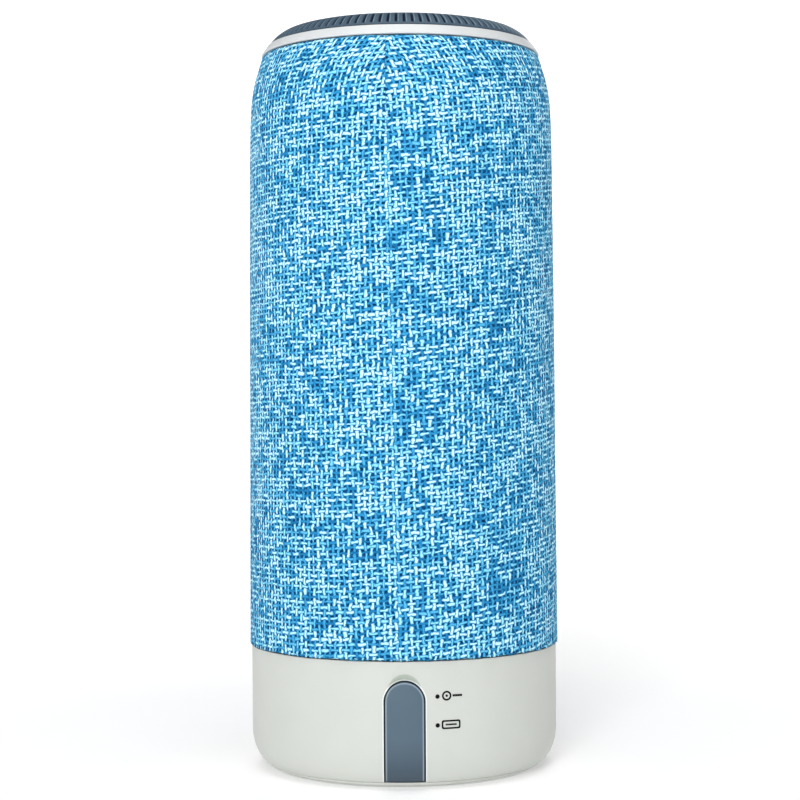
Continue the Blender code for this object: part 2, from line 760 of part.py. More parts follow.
def sleeve_and_tube():
    inner = [(sleeve_radius(z) - SLEEVE_THICK, z) for z in (BASE_TOP + GAP, 90, 157, 164.5, 169.0)]
    turned(
        "fabric_sleeve",
        [*SLEEVE_OUTER, *inner, (34.7 - SLEEVE_THICK, SLEEVE_TOP)],
        BLUE_WEAVE,
    )
    inset = SLEEVE_THICK + GAP + 0.1
    outer = [(sleeve_radius(z) - inset, z) for z in (174.4, 169.0, 164.5, 157, BASE_TOP + GAP)]
    tube_profile = [
        *outer,
        (outer[-1][0] - TUBE_THICK, BASE_TOP + GAP),
        (outer[-2][0] - TUBE_THICK, 157),
        (outer[-2][0] - TUBE_THICK - 1.0, FLANGE_Z - 3.0),
        (25.0, FLANGE_Z),
        (25.0, FLANGE_Z + WALL),
        (outer[1][0] - TUBE_THICK - 1.0, FLANGE_Z + WALL),
        (outer[0][0] - TUBE_THICK, 174.4),
    ]
    grille = turned("grille_tube", tube_profile, DARK_PLASTIC)
    cut_sound_windows(grille)
    drill(grille, "flange_cable_hole", 1.2, (160, 180), CABLE_HOLE)


def cut_sound_windows(grille):
    """Two rows of windows round the tube: below for the radiator, and above for the driver."""
    mesh = bpy.data.meshes.new("sound_windows")
    shape = bmesh.new()
    for low, high in WINDOW_ROWS:
        for column in range(WINDOW_COLUMNS):
            turn = Matrix.Rotation(math.tau * (column + 0.5) / WINDOW_COLUMNS, 4, "Z")
            place = Matrix.Translation((36.0 * MM, 0, (low + high) / 2 * MM))
            size = Matrix.Diagonal((8 * MM, 15 * MM, (high - low) * MM, 1))
            bmesh.ops.create_cube(shape, size=1.0, matrix=turn @ place @ size)
    shape.to_mesh(mesh)
    shape.free()
    combine(grille, add_object("sound_windows", mesh, None, helper=True))


# ---------------------------------------------------------------- control top


def tooth_outline(teeth, internal, phase=0.0):
    """Outline of a gear with straight-sided stub teeth, four points a tooth."""
    pitch_radius = MODULE * teeth / 2
    reach = TOOTH_REACH * MODULE
    tip = pitch_radius - reach if internal else pitch_radius + reach
    root = pitch_radius + reach + 0.12 if internal else pitch_radius - reach - 0.12
    pitch = math.tau / teeth
    half_tooth = (math.pi * MODULE / 2 - BACKLASH) / 2
    slope = math.tan(math.radians(24))
    tip_half = (half_tooth - slope * abs(tip - pitch_radius)) / tip
    root_half = (half_tooth + slope * abs(root - pitch_radius)) / root
    points = []
    for tooth in range(teeth):
        middle = pitch * tooth + phase
        for radius, half in ((root, -root_half), (tip, -tip_half), (tip, tip_half), (root, root_half)):
            points.append((radius * math.cos(middle + half), radius * math.sin(middle + half)))
    return points


PINION_ANGLE = 45
CENTRE_DISTANCE = MODULE * (GEAR_TEETH - PINION_TEETH) / 2
CHASSIS_Z = (FLANGE_Z + WALL + GAP, FLANGE_Z + 2 * WALL + GAP)
CHASSIS_TOP = CHASSIS_Z[1]


def volume_group():
    """Ribbed volume ring, the internal gear bonded under it, and the encoder pinion that the gear drives."""
    crown = round_edge((33.0, 178.6), (27.3, OVERALL_HEIGHT), (27.3, 178.6), steps=5)
    profile = [
        (26.0, OVERALL_HEIGHT - 0.2),
        *crown[::-1][:-1],
        (33.0, CROWN_BOTTOM),
        (28.3, CROWN_BOTTOM),
        (28.3, GEAR_Z[1] + GAP),
        (24.3, GEAR_Z[1] + GAP),
        (24.3, 179.1),
        (25.7, 179.1),
        (25.7, OVERALL_HEIGHT - 0.5),
    ]
    turned("volume_ring", profile, SLATE_PLASTIC)

    middle = (GEAR_Z[0] + GEAR_Z[1]) / 2
    thick = GEAR_Z[1] - GEAR_Z[0]
    rim = [polar(28.3, 360 * i / BIG_SIDES) for i in range(BIG_SIDES)]
    # A gap of the internal gear faces the pinion, whose tooth fills it.
    gear_phase = math.radians(PINION_ANGLE) + math.pi / GEAR_TEETH
    hole = tooth_outline(GEAR_TEETH, True, gear_phase)
    gear = flat_outline("volume_gear", [rim, hole], thick, DARK_PLASTIC)
    gear.location = (0, 0, middle * MM)

    centre = polar(CENTRE_DISTANCE, PINION_ANGLE)
    teeth = tooth_outline(PINION_TEETH, False, math.radians(PINION_ANGLE))
    pinion = flat_outline("encoder_pinion", [teeth], thick - 0.2, LENS)
    pinion.location = (centre[0] * MM, centre[1] * MM, middle * MM)
    shaft = cylinder("pinion_shaft", 1.2, (-2.6, 0.5), sides=HOLE_SIDES, helper=True)
    shaft.location = pinion.location
    combine(pinion, shaft, "UNION")

    half = 4.5
    low = (centre[0] - half, centre[1] - half, CHASSIS_TOP + GAP)
    high = (centre[0] + half, centre[1] + half, GEAR_Z[0] - 0.4)
    body = box("encoder_body", low, high, CHIP_BLACK)
    drill(body, "encoder_socket", 1.5, (160, 190), centre, POST_SIDES)


def top_ring():
    """Sloped ring that closes the sleeve's upper edge, with a wall that stands on the top chassis."""
    turned(
        "top_ring",
        [
            (33.3, CROWN_BOTTOM - GAP),
            (34.85, SLEEVE_TOP + 0.7),
            (34.85, SLEEVE_TOP + GAP),
            (31.0, SLEEVE_TOP + GAP),
            (31.0, CHASSIS_TOP + GAP),
            (29.0, CHASSIS_TOP + GAP),
            (29.0, CROWN_BOTTOM - GAP),
        ],
        PALE_PLASTIC,
    )


PILLAR_ANGLES = (135, 225, 315)
PILLAR_RADIUS = 20.6


def top_chassis():
    """Inner plate on the grille tube's flange: it carries the ring, the encoder and the keys."""
    plate = cylinder("top_chassis", 31.0, CHASSIS_Z, look=DARK_PLASTIC, sides=BIG_SIDES)
    drill(plate, "chassis_cable_hole", 1.2, through(CHASSIS_Z), CABLE_HOLE)
    for number, angle in enumerate(PILLAR_ANGLES, 1):
        drill(plate, f"pillar_socket_{number}", 1.4, through(CHASSIS_Z), polar(PILLAR_RADIUS, angle))


KEY_PLACES = {
    "play_button": (0.0, 0.0, 5.2),
    "next_button": (13.0, 0.0, 3.7),
    "mode_button": (0.0, 13.0, 3.7),
    "previous_button": (-13.0, 0.0, 3.7),
    "power_button": (0.0, -13.0, 3.7),
}
PLATE_Z = (179.5, 182.0)
KEY_BOARD_Z = (175.0, 176.2)
LIGHT_PLACE = (0.0, -20.3)
LIGHT_RADIUS = 0.8


def key(name, x, y, radius):
    """A round key with a skirt that stays under the cover plate."""
    top, under = OVERALL_HEIGHT - 0.1, PLATE_Z[0] - GAP
    profile = [
        (0, top),
        (radius - 0.5, top),
        (radius, top - 0.4),
        (radius, under),
        (radius + 0.9, under),
        (radius + 0.9, under - 0.6),
        (0, under - 0.6),
    ]
    turned(name, profile, SLATE_RUBBER, SMALL_SIDES).location = (x * MM, y * MM, 0)


def control_group():
    """Fixed centre of the top: cover plate on pillars, five keys, status light, switch sheet and board."""
    plate = cylinder("control_plate", 25.3, PLATE_Z, look=SLATE_PLASTIC, sides=BIG_SIDES)
    for number, angle in enumerate(PILLAR_ANGLES, 1):
        place = polar(PILLAR_RADIUS, angle)
        add_post(plate, f"pillar_{number}", 1.8, (CHASSIS_TOP + GAP, PLATE_Z[0] + 1), place, HOLE_SIDES)
        add_post(plate, f"pillar_peg_{number}", 1.1, (CHASSIS_TOP - 1.6, CHASSIS_TOP + 1), place, HOLE_SIDES)
    for name, (x, y, radius) in KEY_PLACES.items():
        drill(plate, name + "_hole", radius + GAP, through(PLATE_Z), (x, y), SMALL_SIDES)
        key(name, x, y, radius)
    drill(plate, "led_hole", LIGHT_RADIUS + GAP, through(PLATE_Z), LIGHT_PLACE)
    cylinder("status_light", LIGHT_RADIUS, (PLATE_Z[0] - 0.5, PLATE_Z[1]), LIGHT_PLACE, LENS, 12)

    # The board and the switch sheet are notched where the encoder's pinion turns
    pinion_place = polar(CENTRE_DISTANCE, PINION_ANGLE)
    board = cylinder("key_board", 18.2, KEY_BOARD_Z, look=BOARD_GREEN, sides=BIG_SIDES)
    drill(board, "board_notch", 7.4, through(KEY_BOARD_Z), pinion_place, SMALL_SIDES)
    sheet_z = (KEY_BOARD_Z[1] + GAP, KEY_BOARD_Z[1] + 0.9)
    sheet = cylinder("switch_sheet", 17.6, sheet_z, look=LENS, sides=BIG_SIDES)
    drill(sheet, "sheet_notch", 7.4, through(sheet_z), pinion_place, SMALL_SIDES)
    for name, (x, y, _) in KEY_PLACES.items():
        add_post(sheet, name + "_dome", 2.0, (sheet_z[0] + 0.2, sheet_z[1] + 0.7), (x, y), HOLE_SIDES)


# ---------------------------------------------------------------- wiring


def wiring():
    """Key cable up the outside of the chamber, and the driver's lead up the inside of it."""
    climb = KEY_CABLE_RADIUS
    key_route = [
        (27.8, 24.6),
        (31.2, 24.8),
        (33.4, 26.4),
        (climb, 30.0),
        (climb, 60.0),
        (climb, 100.0),
        (climb, 138.0),
        (33.4, 148.0),
        (29.6, 157.5),
        (27.2, 166.0),
        (27.2, 171.0),
        (26.3, 173.4),
        (22.0, 173.8),
        (15.0, 173.8),
    ]
    tube("key_cable", [(radius, 0, z) for radius, z in key_route], 0.6, CABLE_JACKET)
    lead_route = [
        (21.0, 26.2),
        (25.0, 26.2),
        (27.9, 26.6),
        (LEAD_RADIUS, 29.0),
        (LEAD_RADIUS, 38.0),
        (LEAD_RADIUS, 76.0),
        (LEAD_RADIUS, 110.0),
        (26.6, 118.0),
        (21.6, 121.8),
        (18.7, 123.6),
        (18.4, 126.0),
    ]
    tube("driver_lead", [(*polar(radius, LEAD_ANGLE), z) for radius, z in lead_route], 0.7, CABLE_JACKET)


# ---------------------------------------------------------------- shading


def smooth_by_angle(limit=30.0):
    """A node group that shades faces smooth across edges flatter than the limit, in degrees."""
    group = bpy.data.node_groups.new("smooth_by_angle", "GeometryNodeTree")
    group.interface.new_socket("Geometry", in_out="INPUT", socket_type="NodeSocketGeometry")
    group.interface.new_socket("Geometry", in_out="OUTPUT", socket_type="NodeSocketGeometry")
    source = group.nodes.new("NodeGroupInput")
    result = group.nodes.new("NodeGroupOutput")
    angle = group.nodes.new("GeometryNodeInputMeshEdgeAngle")
    flat_enough = group.nodes.new("FunctionNodeCompare")
    flat_enough.operation = "LESS_EQUAL"
    flat_enough.inputs["B"].default_value = math.radians(limit)
    faces = group.nodes.new("GeometryNodeSetShadeSmooth")
    faces.domain = "FACE"
    edges = group.nodes.new("GeometryNodeSetShadeSmooth")
    edges.domain = "EDGE"
    links = (
        (source.outputs[0], faces.inputs["Geometry"]),
        (faces.outputs["Geometry"], edges.inputs["Geometry"]),
        (angle.outputs["Unsigned Angle"], flat_enough.inputs["A"]),
        (flat_enough.outputs["Result"], edges.inputs["Shade Smooth"]),
        (edges.outputs["Geometry"], result.inputs[0]),
    )
    for start, end in links:
        group.links.new(start, end)
    return group


def shade_pieces():
    group = smooth_by_angle()
    for piece in SPEAKER.objects:
        if piece.type == "MESH":
            piece.modifiers.new("shading", "NODES").node_group = group


base_shell()
base_plate()
base_screws()
foot_ring()
port_flap()
port_board_group()
battery_group()
main_board_group()
chassis()
radiator_group()
driver_group()
diffuser()
sleeve_and_tube()
volume_group()
top_ring()
top_chassis()
control_group()
wiring()
shade_pieces()
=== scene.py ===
"""Looks of a portable cylindrical loudspeaker: woven sleeve, pale base with a port flap, ribbed volume ring.

Profiles are (radius, z) points in millimetres, as in the CAD frame, and the helpers turn them into metres.
-Y is the port side, +Z is up, and the foot stands at z = 0.
"""

import math

import bmesh
import bpy
import numpy as np
from mathutils import Matrix, Vector


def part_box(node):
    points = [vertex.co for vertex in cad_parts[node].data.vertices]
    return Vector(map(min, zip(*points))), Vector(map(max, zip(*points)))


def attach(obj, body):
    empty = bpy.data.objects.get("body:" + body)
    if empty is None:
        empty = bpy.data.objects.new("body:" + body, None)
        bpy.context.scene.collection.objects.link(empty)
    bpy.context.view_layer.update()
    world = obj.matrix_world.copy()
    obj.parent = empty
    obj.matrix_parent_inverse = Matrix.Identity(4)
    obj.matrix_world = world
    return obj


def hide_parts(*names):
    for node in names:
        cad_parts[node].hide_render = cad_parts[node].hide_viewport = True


MM = 0.001
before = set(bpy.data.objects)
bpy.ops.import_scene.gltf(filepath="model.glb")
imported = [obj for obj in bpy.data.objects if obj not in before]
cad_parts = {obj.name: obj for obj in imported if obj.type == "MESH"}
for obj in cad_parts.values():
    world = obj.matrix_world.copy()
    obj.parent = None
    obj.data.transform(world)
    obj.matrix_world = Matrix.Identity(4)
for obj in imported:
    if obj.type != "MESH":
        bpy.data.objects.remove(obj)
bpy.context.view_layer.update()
scene = bpy.context.scene
rng = np.random.default_rng(7)


def span(node):
    """The lowest and highest corner of a CAD node, in millimetres."""
    low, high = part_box(node)
    return low / MM, high / MM


# ---- sizes, from the frame
BASE_RADIUS = span("base_shell")[1].x
BASE_TOP = 30.2
SHELL_BOTTOM = span("base_shell")[0].z
CORNER_RISE, CORNER_RUN = 8.9, 5.5  # height and depth of the base's rounded lower edge
CORNER_TOP = SHELL_BOTTOM - 1.0 + CORNER_RISE
WALL = 2.0
BORE_DEPTHS = (-40.0, -28.0)  # y from outside the base to behind the socket wall
FLAP_LOW, FLAP_HIGH = span("port_flap")
FLAP_HALF = FLAP_HIGH.x - 0.15  # a little narrower than its solid
FLAP_TOP = FLAP_HIGH.z
GAP = 0.3  # between the flap and its pocket
POCKET_FLOOR = -35.9  # y of the pocket's floor
HINGE = (-34.9, 2.9)  # y and z of the flap's hinge axis
BEAD_RADIUS = 1.15
SCOOP = (8.0, -BASE_RADIUS - 6.75, FLAP_TOP - 2.5)  # radius, y and z of the fingernail scoop's sphere
JACK_Z = sum(corner.z for corner in span("aux_jack")) / 2
USB_Z = sum(corner.z for corner in span("usb_shell")) / 2
SLEEVE_LOW, SLEEVE_TOP = (corner.z for corner in span("fabric_sleeve"))
RING_LOW, RING_TOP = (corner.z for corner in span("top_ring"))
CROWN_TOP = span("volume_ring")[1].z
PLATE_RADIUS = span("control_plate")[1].x
PLATE_LOW, PLATE_TOP = (corner.z for corner in span("control_plate"))
LEG_RADIUS, LEG_ANGLES = 30.0, (90, 210, 330)  # screws of the chamber
BOSS_RADIUS, BOSS_ANGLES = 29.3, (45, 135, 225, 315)  # screws of the base plate
DRIVER_RADIUS = 28.6  # screws of the driver
LIGHT_PLACE = (0.0, -20.3)
KEY_FLANGE = 0.9  # how far a key's foot reaches past its cap

# ---- mesh helpers


def add_mesh(name, verts, faces, sharp=35.0):
    """A shown mesh object from points in millimetres."""
    mesh = bpy.data.meshes.new(name)
    mesh.from_pydata([tuple(c * MM for c in v) for v in verts], [], faces)
    obj = add_object(name, mesh)
    tidy_mesh(obj, sharp)
    return obj


def add_object(name, data):
    made = bpy.data.objects.new(name, data)
    scene.collection.objects.link(made)
    return made


def tidy_mesh(obj, sharp=35.0):
    """Welds the mesh, turns its faces outward and shades it smooth between sharp edges."""
    shape = bmesh.new()
    shape.from_mesh(obj.data)
    bmesh.ops.remove_doubles(shape, verts=shape.verts, dist=1e-7)
    bmesh.ops.recalc_face_normals(shape, faces=shape.faces)
    shape.to_mesh(obj.data)
    shape.free()
    obj.data.shade_smooth()
    obj.data.set_sharp_from_angle(angle=math.radians(sharp))


def soften(points, closed=True, steps=4):
    """Rounds the corners of an outline. A point is (a, b), or (a, b, radius) where it is rounded."""
    rounded = []
    count = len(points)
    for i, point in enumerate(points):
        here = Vector(point[:2])
        radius = point[2] if len(point) > 2 else 0.0
        if not radius or (not closed and i in (0, count - 1)):
            rounded.append((here.x, here.y))
            continue
        before, after = Vector(points[i - 1][:2]) - here, Vector(points[(i + 1) % count][:2]) - here
        half = before.angle(after) / 2
        reach = min(radius / math.tan(half), before.length * 0.49, after.length * 0.49)
        start, end = here + before.normalized() * reach, here + after.normalized() * reach
        for step in range(steps + 1):
            t = step / steps
            place = start * (1 - t) ** 2 + here * 2 * t * (1 - t) + end * t * t
            rounded.append((place.x, place.y))
    return rounded


def smooth_line(points, steps):
    """Points on a Catmull-Rom curve through the given ones."""
    ends = [points[0], *points, points[-1]]
    found = []
    for a, b, c, d in zip(ends, ends[1:], ends[2:], ends[3:]):
        a, b, c, d = Vector(a), Vector(b), Vector(c), Vector(d)
        for step in range(steps):
            t = step / steps
            square = 2 * a - 5 * b + 4 * c - d
            cube = 3 * b - a - 3 * c + d
            found.append(tuple(0.5 * (2 * b + (c - a) * t + square * t**2 + cube * t**3)))
    return [*found, tuple(points[-1])]


def lathe(name, profile, sides=160, sharp=35.0, centre=(0.0, 0.0), bend=None):
    """A turned mesh. The profile is a closed loop, or runs from axis to axis; bend moves each ring point."""
    open_line = profile[0][0] == 0 and profile[-1][0] == 0
    verts, rings = [], []
    for radius, z in profile:
        if radius == 0:
            rings.append([len(verts)])
            verts.append((centre[0], centre[1], z))
            continue
        rings.append(range(len(verts), len(verts) + sides))
        for i in range(sides):
            turn = math.tau * i / sides
            r, h = bend(radius, z, turn) if bend else (radius, z)
            verts.append((centre[0] + r * math.cos(turn), centre[1] + r * math.sin(turn), h))
    pairs = list(zip(rings, rings[1:])) + ([] if open_line else [(rings[-1], rings[0])])
    faces = []
    for low, high in pairs:
        for i in range(sides):
            j = (i + 1) % sides
            if len(low) == 1:
                faces.append((low[0], high[j], high[i]))
            elif len(high) == 1:
                faces.append((low[i], low[j], high[0]))
            else:
                faces.append((low[i], low[j], high[j], high[i]))
    return add_mesh(name, verts, faces, sharp)


def prism(name, outline, low, high, across="Z"):
    """A solid with a flat outline, between two heights along an axis.

    The outline is (x, y), or (x, z) for one along Y, or (y, z) for one along X.
    """
    count = len(outline)
    place = {
        "Z": lambda a, b, h: (a, b, h),
        "Y": lambda a, b, h: (a, h, b),
        "X": lambda a, b, h: (h, a, b),
    }[across]
    verts = [place(a, b, low) for a, b in outline] + [place(a, b, high) for a, b in outline]
    faces = [tuple(range(count)), tuple(range(count, 2 * count))]
    faces += [(i, (i + 1) % count, count + (i + 1) % count, count + i) for i in range(count)]
    return add_mesh(name, verts, faces)


def arch(half, low, top, steps=24):
    """An (x, z) outline with a straight foot and a half-round top."""
    turns = [math.pi * i / steps for i in range(steps + 1)]
    arc = [(half * math.cos(turn), top - half + half * math.sin(turn)) for turn in turns]
    return [(half, low), *arc, (-half, low)]


def rounded_box(half_width, half_height, radius, centre=(0.0, 0.0), steps=5):
    """A rectangle outline with round corners."""
    corners = [(-1, -1), (1, -1), (1, 1), (-1, 1)]
    outline = [(centre[0] + a * half_width, centre[1] + b * half_height, radius) for a, b in corners]
    return soften(outline, steps=steps)


def disc(radius, centre=(0.0, 0.0), steps=32):
    turns = [math.tau * i / steps for i in range(steps)]
    return [(centre[0] + radius * math.cos(turn), centre[1] + radius * math.sin(turn)) for turn in turns]


def boolean(target, tool, operation="DIFFERENCE"):
    """Joins or cuts target with tool, at once, and removes tool."""
    modifier = target.modifiers.new("cut", "BOOLEAN")
    modifier.operation = operation
    modifier.solver = "EXACT"
    modifier.object = tool
    bpy.context.view_layer.update()
    graph = bpy.context.evaluated_depsgraph_get()
    result = bpy.data.meshes.new_from_object(target.evaluated_get(graph))
    target.modifiers.remove(modifier)
    target.data = result
    bpy.data.objects.remove(tool, do_unlink=True)


def break_edges(obj, width, inside, angle=40.0, segments=2):
    """Rounds the sharp edges whose two ends pass the test inside(x, y, z), in millimetres."""
    shape = bmesh.new()
    shape.from_mesh(obj.data)
    bmesh.ops.remove_doubles(shape, verts=shape.verts, dist=2e-6)
    bmesh.ops.dissolve_degenerate(shape, edges=shape.edges, dist=2e-6)
    shape.normal_update()
    edges = [
        e
        for e in shape.edges
        if len(e.link_faces) == 2
        and e.calc_face_angle(0) > math.radians(angle)
        and all(inside(*(v.co / MM)) for v in e.verts)
    ]
    bmesh.ops.bevel(
        shape,
        geom=edges,
        offset=width * MM,
        segments=segments,
        profile=0.5,
        affect="EDGES",
        clamp_overlap=True,
    )
    shape.to_mesh(obj.data)
    shape.free()
    tidy_mesh(obj)


def polar(radius, degrees):
    return (radius * math.cos(math.radians(degrees)), radius * math.sin(math.radians(degrees)))


# ---- shader helpers


def srgb(red, green, blue):
    """A colour picked in 0 to 255, as the linear colour that a shader takes."""
    shares = (red / 255, green / 255, blue / 255)
    return (*(c / 12.92 if c <= 0.04 else ((c + 0.055) / 1.055) ** 2.4 for c in shares), 1.0)


def connect(tree, value, socket):
    """Links a shader value into a socket, or sets a constant on it."""
    if isinstance(value, bpy.types.NodeSocket):
        tree.links.new(value, socket)
    else:
        socket.default_value = value


def node(tree, kind, inputs=None, **settings):
    """Adds a node, with its settings, and each input either linked or set."""
    made = tree.nodes.new(kind)
    for key, value in settings.items():
        setattr(made, key, value)
    for key, value in (inputs or {}).items():
        connect(tree, value, made.inputs[key])
    return made


def maths(tree, operation, *values):
    """One Math node's result."""
    return node(tree, "ShaderNodeMath", dict(enumerate(values)), operation=operation).outputs[0]


def vector_maths(tree, operation, *values):
    made = node(tree, "ShaderNodeVectorMath", dict(enumerate(values)), operation=operation)
    return made.outputs["Value" if operation in ("DISTANCE", "LENGTH") else "Vector"]


def fade(tree, value, start, end, low=0.0, high=1.0):
    """Goes from low to high while value goes from start to end, and is level beyond."""
    return node(tree, "ShaderNodeMapRange", {0: value, 1: start, 2: end, 3: low, 4: high}).outputs[0]


def split(tree, vector):
    """The three parts of a vector."""
    return node(tree, "ShaderNodeSeparateXYZ", {0: vector}).outputs


def ramp(tree, value, stops, smooth=False):
    """A Color Ramp with (position, colour) stops."""
    made = node(tree, "ShaderNodeValToRGB", {"Fac": value})
    made.color_ramp.interpolation = "B_SPLINE" if smooth else "LINEAR"
    while len(made.color_ramp.elements) < len(stops):
        made.color_ramp.elements.new(1.0)
    for element, (place, colour) in zip(made.color_ramp.elements, stops):
        element.position = place
        element.color = colour
    return made.outputs["Color"]


def soft_tones(tree, value, colour, other):
    """One tone where a noise value is low and another where it is high, with a soft change."""
    return ramp(tree, value, [(0.3, colour), (0.7, other)], smooth=True)


def mix_colours(tree, factor, a, b):
    return node(tree, "ShaderNodeMix", {0: factor, 6: a, 7: b}, data_type="RGBA").outputs[2]


def noise(tree, place, scale, detail=2.0, roughness=0.5):
    inputs = {"Vector": place, "Scale": scale, "Detail": detail, "Roughness": roughness}
    return node(tree, "ShaderNodeTexNoise", inputs).outputs["Fac"]


def drawn_noise(tree, place, scales, detail, roughness=0.5):
    """Noise with a scale of its own along each axis."""
    return noise(tree, vector_maths(tree, "MULTIPLY", place, scales), 1.0, detail, roughness)


def bands(tree, place, way, scale, distortion, detail=2.0):
    """Soft stripes that follow each other along an axis."""
    inputs = {"Vector": place, "Scale": scale, "Distortion": distortion, "Detail": detail}
    return node(tree, "ShaderNodeTexWave", inputs, bands_direction=way).outputs["Fac"]


def new_material(name):
    """A Principled material: itself, its tree and the place of each shaded point, in metres."""
    made = bpy.data.materials.new(name + "_look")
    made.use_nodes = True
    return made, made.node_tree, node(made.node_tree, "ShaderNodeTexCoord").outputs["Object"]


def finish_look(made, tone, roughness, height, depth, strength=1.0, **others):
    """Gives a material its colour, its roughness, a relief with a depth in millimetres and other inputs."""
    tree = made.node_tree
    shader = tree.nodes["Principled BSDF"]
    bump = node(tree, "ShaderNodeBump", {"Strength": strength, "Distance": depth * MM, "Height": height})
    inputs = {"Base Color": tone, "Roughness": roughness, "Normal": bump.outputs["Normal"]}
    inputs |= {INPUT_NAMES[key]: value for key, value in others.items()}
    for key, value in inputs.items():
        connect(tree, value, shader.inputs[key])
    return made


INPUT_NAMES = {
    "specular": "Specular IOR Level",
    "metallic": "Metallic",
    "coat": "Coat Weight",
    "subsurface": "Subsurface Weight",
    "subsurface_radius": "Subsurface Radius",
}


# ---- materials


def moulded(name, colour, other, roughness, grain=9000.0, depth=0.012, patch=90.0, specular=0.5):
    """A moulded or machined surface: two close tones in soft patches, a fine grain and uneven gloss."""
    made, tree, place = new_material(name)
    tone = soft_tones(tree, noise(tree, place, patch, 3.0, 0.55), srgb(*colour), srgb(*other))
    gloss = fade(tree, noise(tree, place, patch * 5, 3.0), 0.3, 0.7, *roughness)
    return finish_look(made, tone, gloss, noise(tree, place, grain, 2.0, 0.6), depth, 0.6, specular=specular)


def arch_depth(tree, place, half, top):
    """How far a point lies inside an upright arch outline, in metres: negative outside it."""
    x, _, z = split(tree, place)
    above = maths(tree, "MAXIMUM", maths(tree, "SUBTRACT", z, (top - half) * MM), 0.0)
    flat = node(tree, "ShaderNodeCombineXYZ", {0: x, 2: above}).outputs[0]
    return maths(tree, "SUBTRACT", half * MM, vector_maths(tree, "LENGTH", flat))


def flap_rubber(name):
    """Slate rubber of the flap, with a painted highlight along its edge and painted shade towards the hinge.
    """
    made, tree, place = new_material(name)
    tone = soft_tones(tree, noise(tree, place, 120.0, 3.0), srgb(77, 96, 111), srgb(72, 91, 106))
    # Painted shade: the rubber darkens towards the hinge at the bottom.
    low = fade(tree, split(tree, place)[2], 12.5 * MM, 3.0 * MM, 0.0, 0.7)
    tone = mix_colours(tree, low, tone, srgb(57, 68, 80))
    depth = arch_depth(tree, place, FLAP_HALF, FLAP_TOP)
    # Painted highlight: a paler line just inside the flap's edge, on its face.
    rim = fade(tree, depth, 0.28 * MM, 0.5 * MM, 0.65, 0.0)
    on_face = maths(tree, "GREATER_THAN", depth, 0.1 * MM)
    tone = mix_colours(tree, maths(tree, "MULTIPLY", rim, on_face), tone, srgb(146, 162, 172))
    return finish_look(made, tone, 0.6, noise(tree, place, 7000.0), 0.018, 0.6, specular=0.35)


def pale_cup(name):
    """Pale plastic of the base, with painted shade in the scoop, painted shade in the gap round the flap and
    a painted highlight on the pocket's edge.
    """
    made, tree, place = new_material(name)
    tone = soft_tones(tree, noise(tree, place, 90.0, 3.0), srgb(193, 196, 191), srgb(189, 192, 186))
    # Painted shade: the scoop is tinted darker and greener, as if in shade.
    from_scoop = vector_maths(tree, "DISTANCE", place, tuple(c * MM for c in (0.0, *SCOOP[1:])))
    scoop_shade = fade(tree, from_scoop, SCOOP[0] * MM * 1.005, SCOOP[0] * MM * 1.012, 0.75, 0.0)
    tone = mix_colours(tree, scoop_shade, tone, srgb(158, 168, 154))
    y = split(tree, place)[1]
    depth = arch_depth(tree, place, FLAP_HALF + GAP, FLAP_TOP + GAP)
    front = maths(tree, "LESS_THAN", y, (POCKET_FLOOR + 3.0) * MM)
    # Painted highlight: a pale line on the base's rounded edge just outside the gap round the flap.
    edge = fade(tree, depth, -0.36 * MM, -0.26 * MM, 0.0, 0.8)
    tone = mix_colours(tree, maths(tree, "MULTIPLY", edge, front), tone, srgb(224, 229, 228))
    # Painted shade: the pocket's walls and floor, where they show in the gap, are painted near black.
    inner = maths(tree, "MULTIPLY", maths(tree, "GREATER_THAN", depth, -0.04 * MM), front)
    recess_shade = maths(tree, "MULTIPLY", inner, maths(tree, "GREATER_THAN", y, (0.28 - BASE_RADIUS) * MM))
    tone = mix_colours(tree, recess_shade, tone, srgb(44, 50, 55))
    return finish_look(made, tone, 0.45, noise(tree, place, 9000.0), 0.012, 0.6, specular=0.35)


def brushed(name, colour, roughness=(0.28, 0.42)):
    """Plated metal with fine turning lines round the Z axis."""
    made, tree, place = new_material(name)
    lines = drawn_noise(tree, place, (600.0, 600.0, 30000.0), 3.0, 0.7)
    darker = (*(c * 0.72 for c in colour), 1.0)
    tone = ramp(tree, noise(tree, place, 250.0, 3.0), [(0.35, darker), (0.62, (*colour, 1.0))], smooth=True)
    return finish_look(made, tone, fade(tree, lines, 0.3, 0.7, *roughness), lines, 0.004, 0.5, metallic=1.0)


def wound_copper(name):
    """Enamelled wire wound in fine level turns."""
    made, tree, place = new_material(name)
    turns = bands(tree, place, "Z", 900.0, 0.3, 1.0)
    tone = ramp(tree, turns, [(0.0, srgb(96, 40, 20)), (0.5, srgb(190, 106, 62)), (1.0, srgb(222, 140, 92))])
    return finish_look(made, tone, 0.32, turns, 0.06, metallic=1.0)


def pressed_paper(name):
    """Dark cone paper with matted fibres."""
    made, tree, place = new_material(name)
    fibres = drawn_noise(tree, place, (2600.0, 2600.0, 900.0), 6.0, 0.75)
    tone = ramp(tree, fibres, [(0.3, srgb(34, 34, 37)), (0.55, srgb(52, 52, 55)), (0.75, srgb(84, 84, 86))])
    return finish_look(made, tone, 0.93, fibres, 0.08)


def resin_cloth(name):
    """Brown varnished cloth of the spider, a fine square weave."""
    made, tree, place = new_material(name)
    weave = maths(tree, "MULTIPLY", *(bands(tree, place, way, 700.0, 0.4) for way in "XY"))
    tone = ramp(tree, weave, [(0.0, srgb(92, 56, 22)), (0.4, srgb(158, 102, 48)), (1.0, srgb(196, 140, 78))])
    return finish_look(made, tone, 0.62, weave, 0.08)


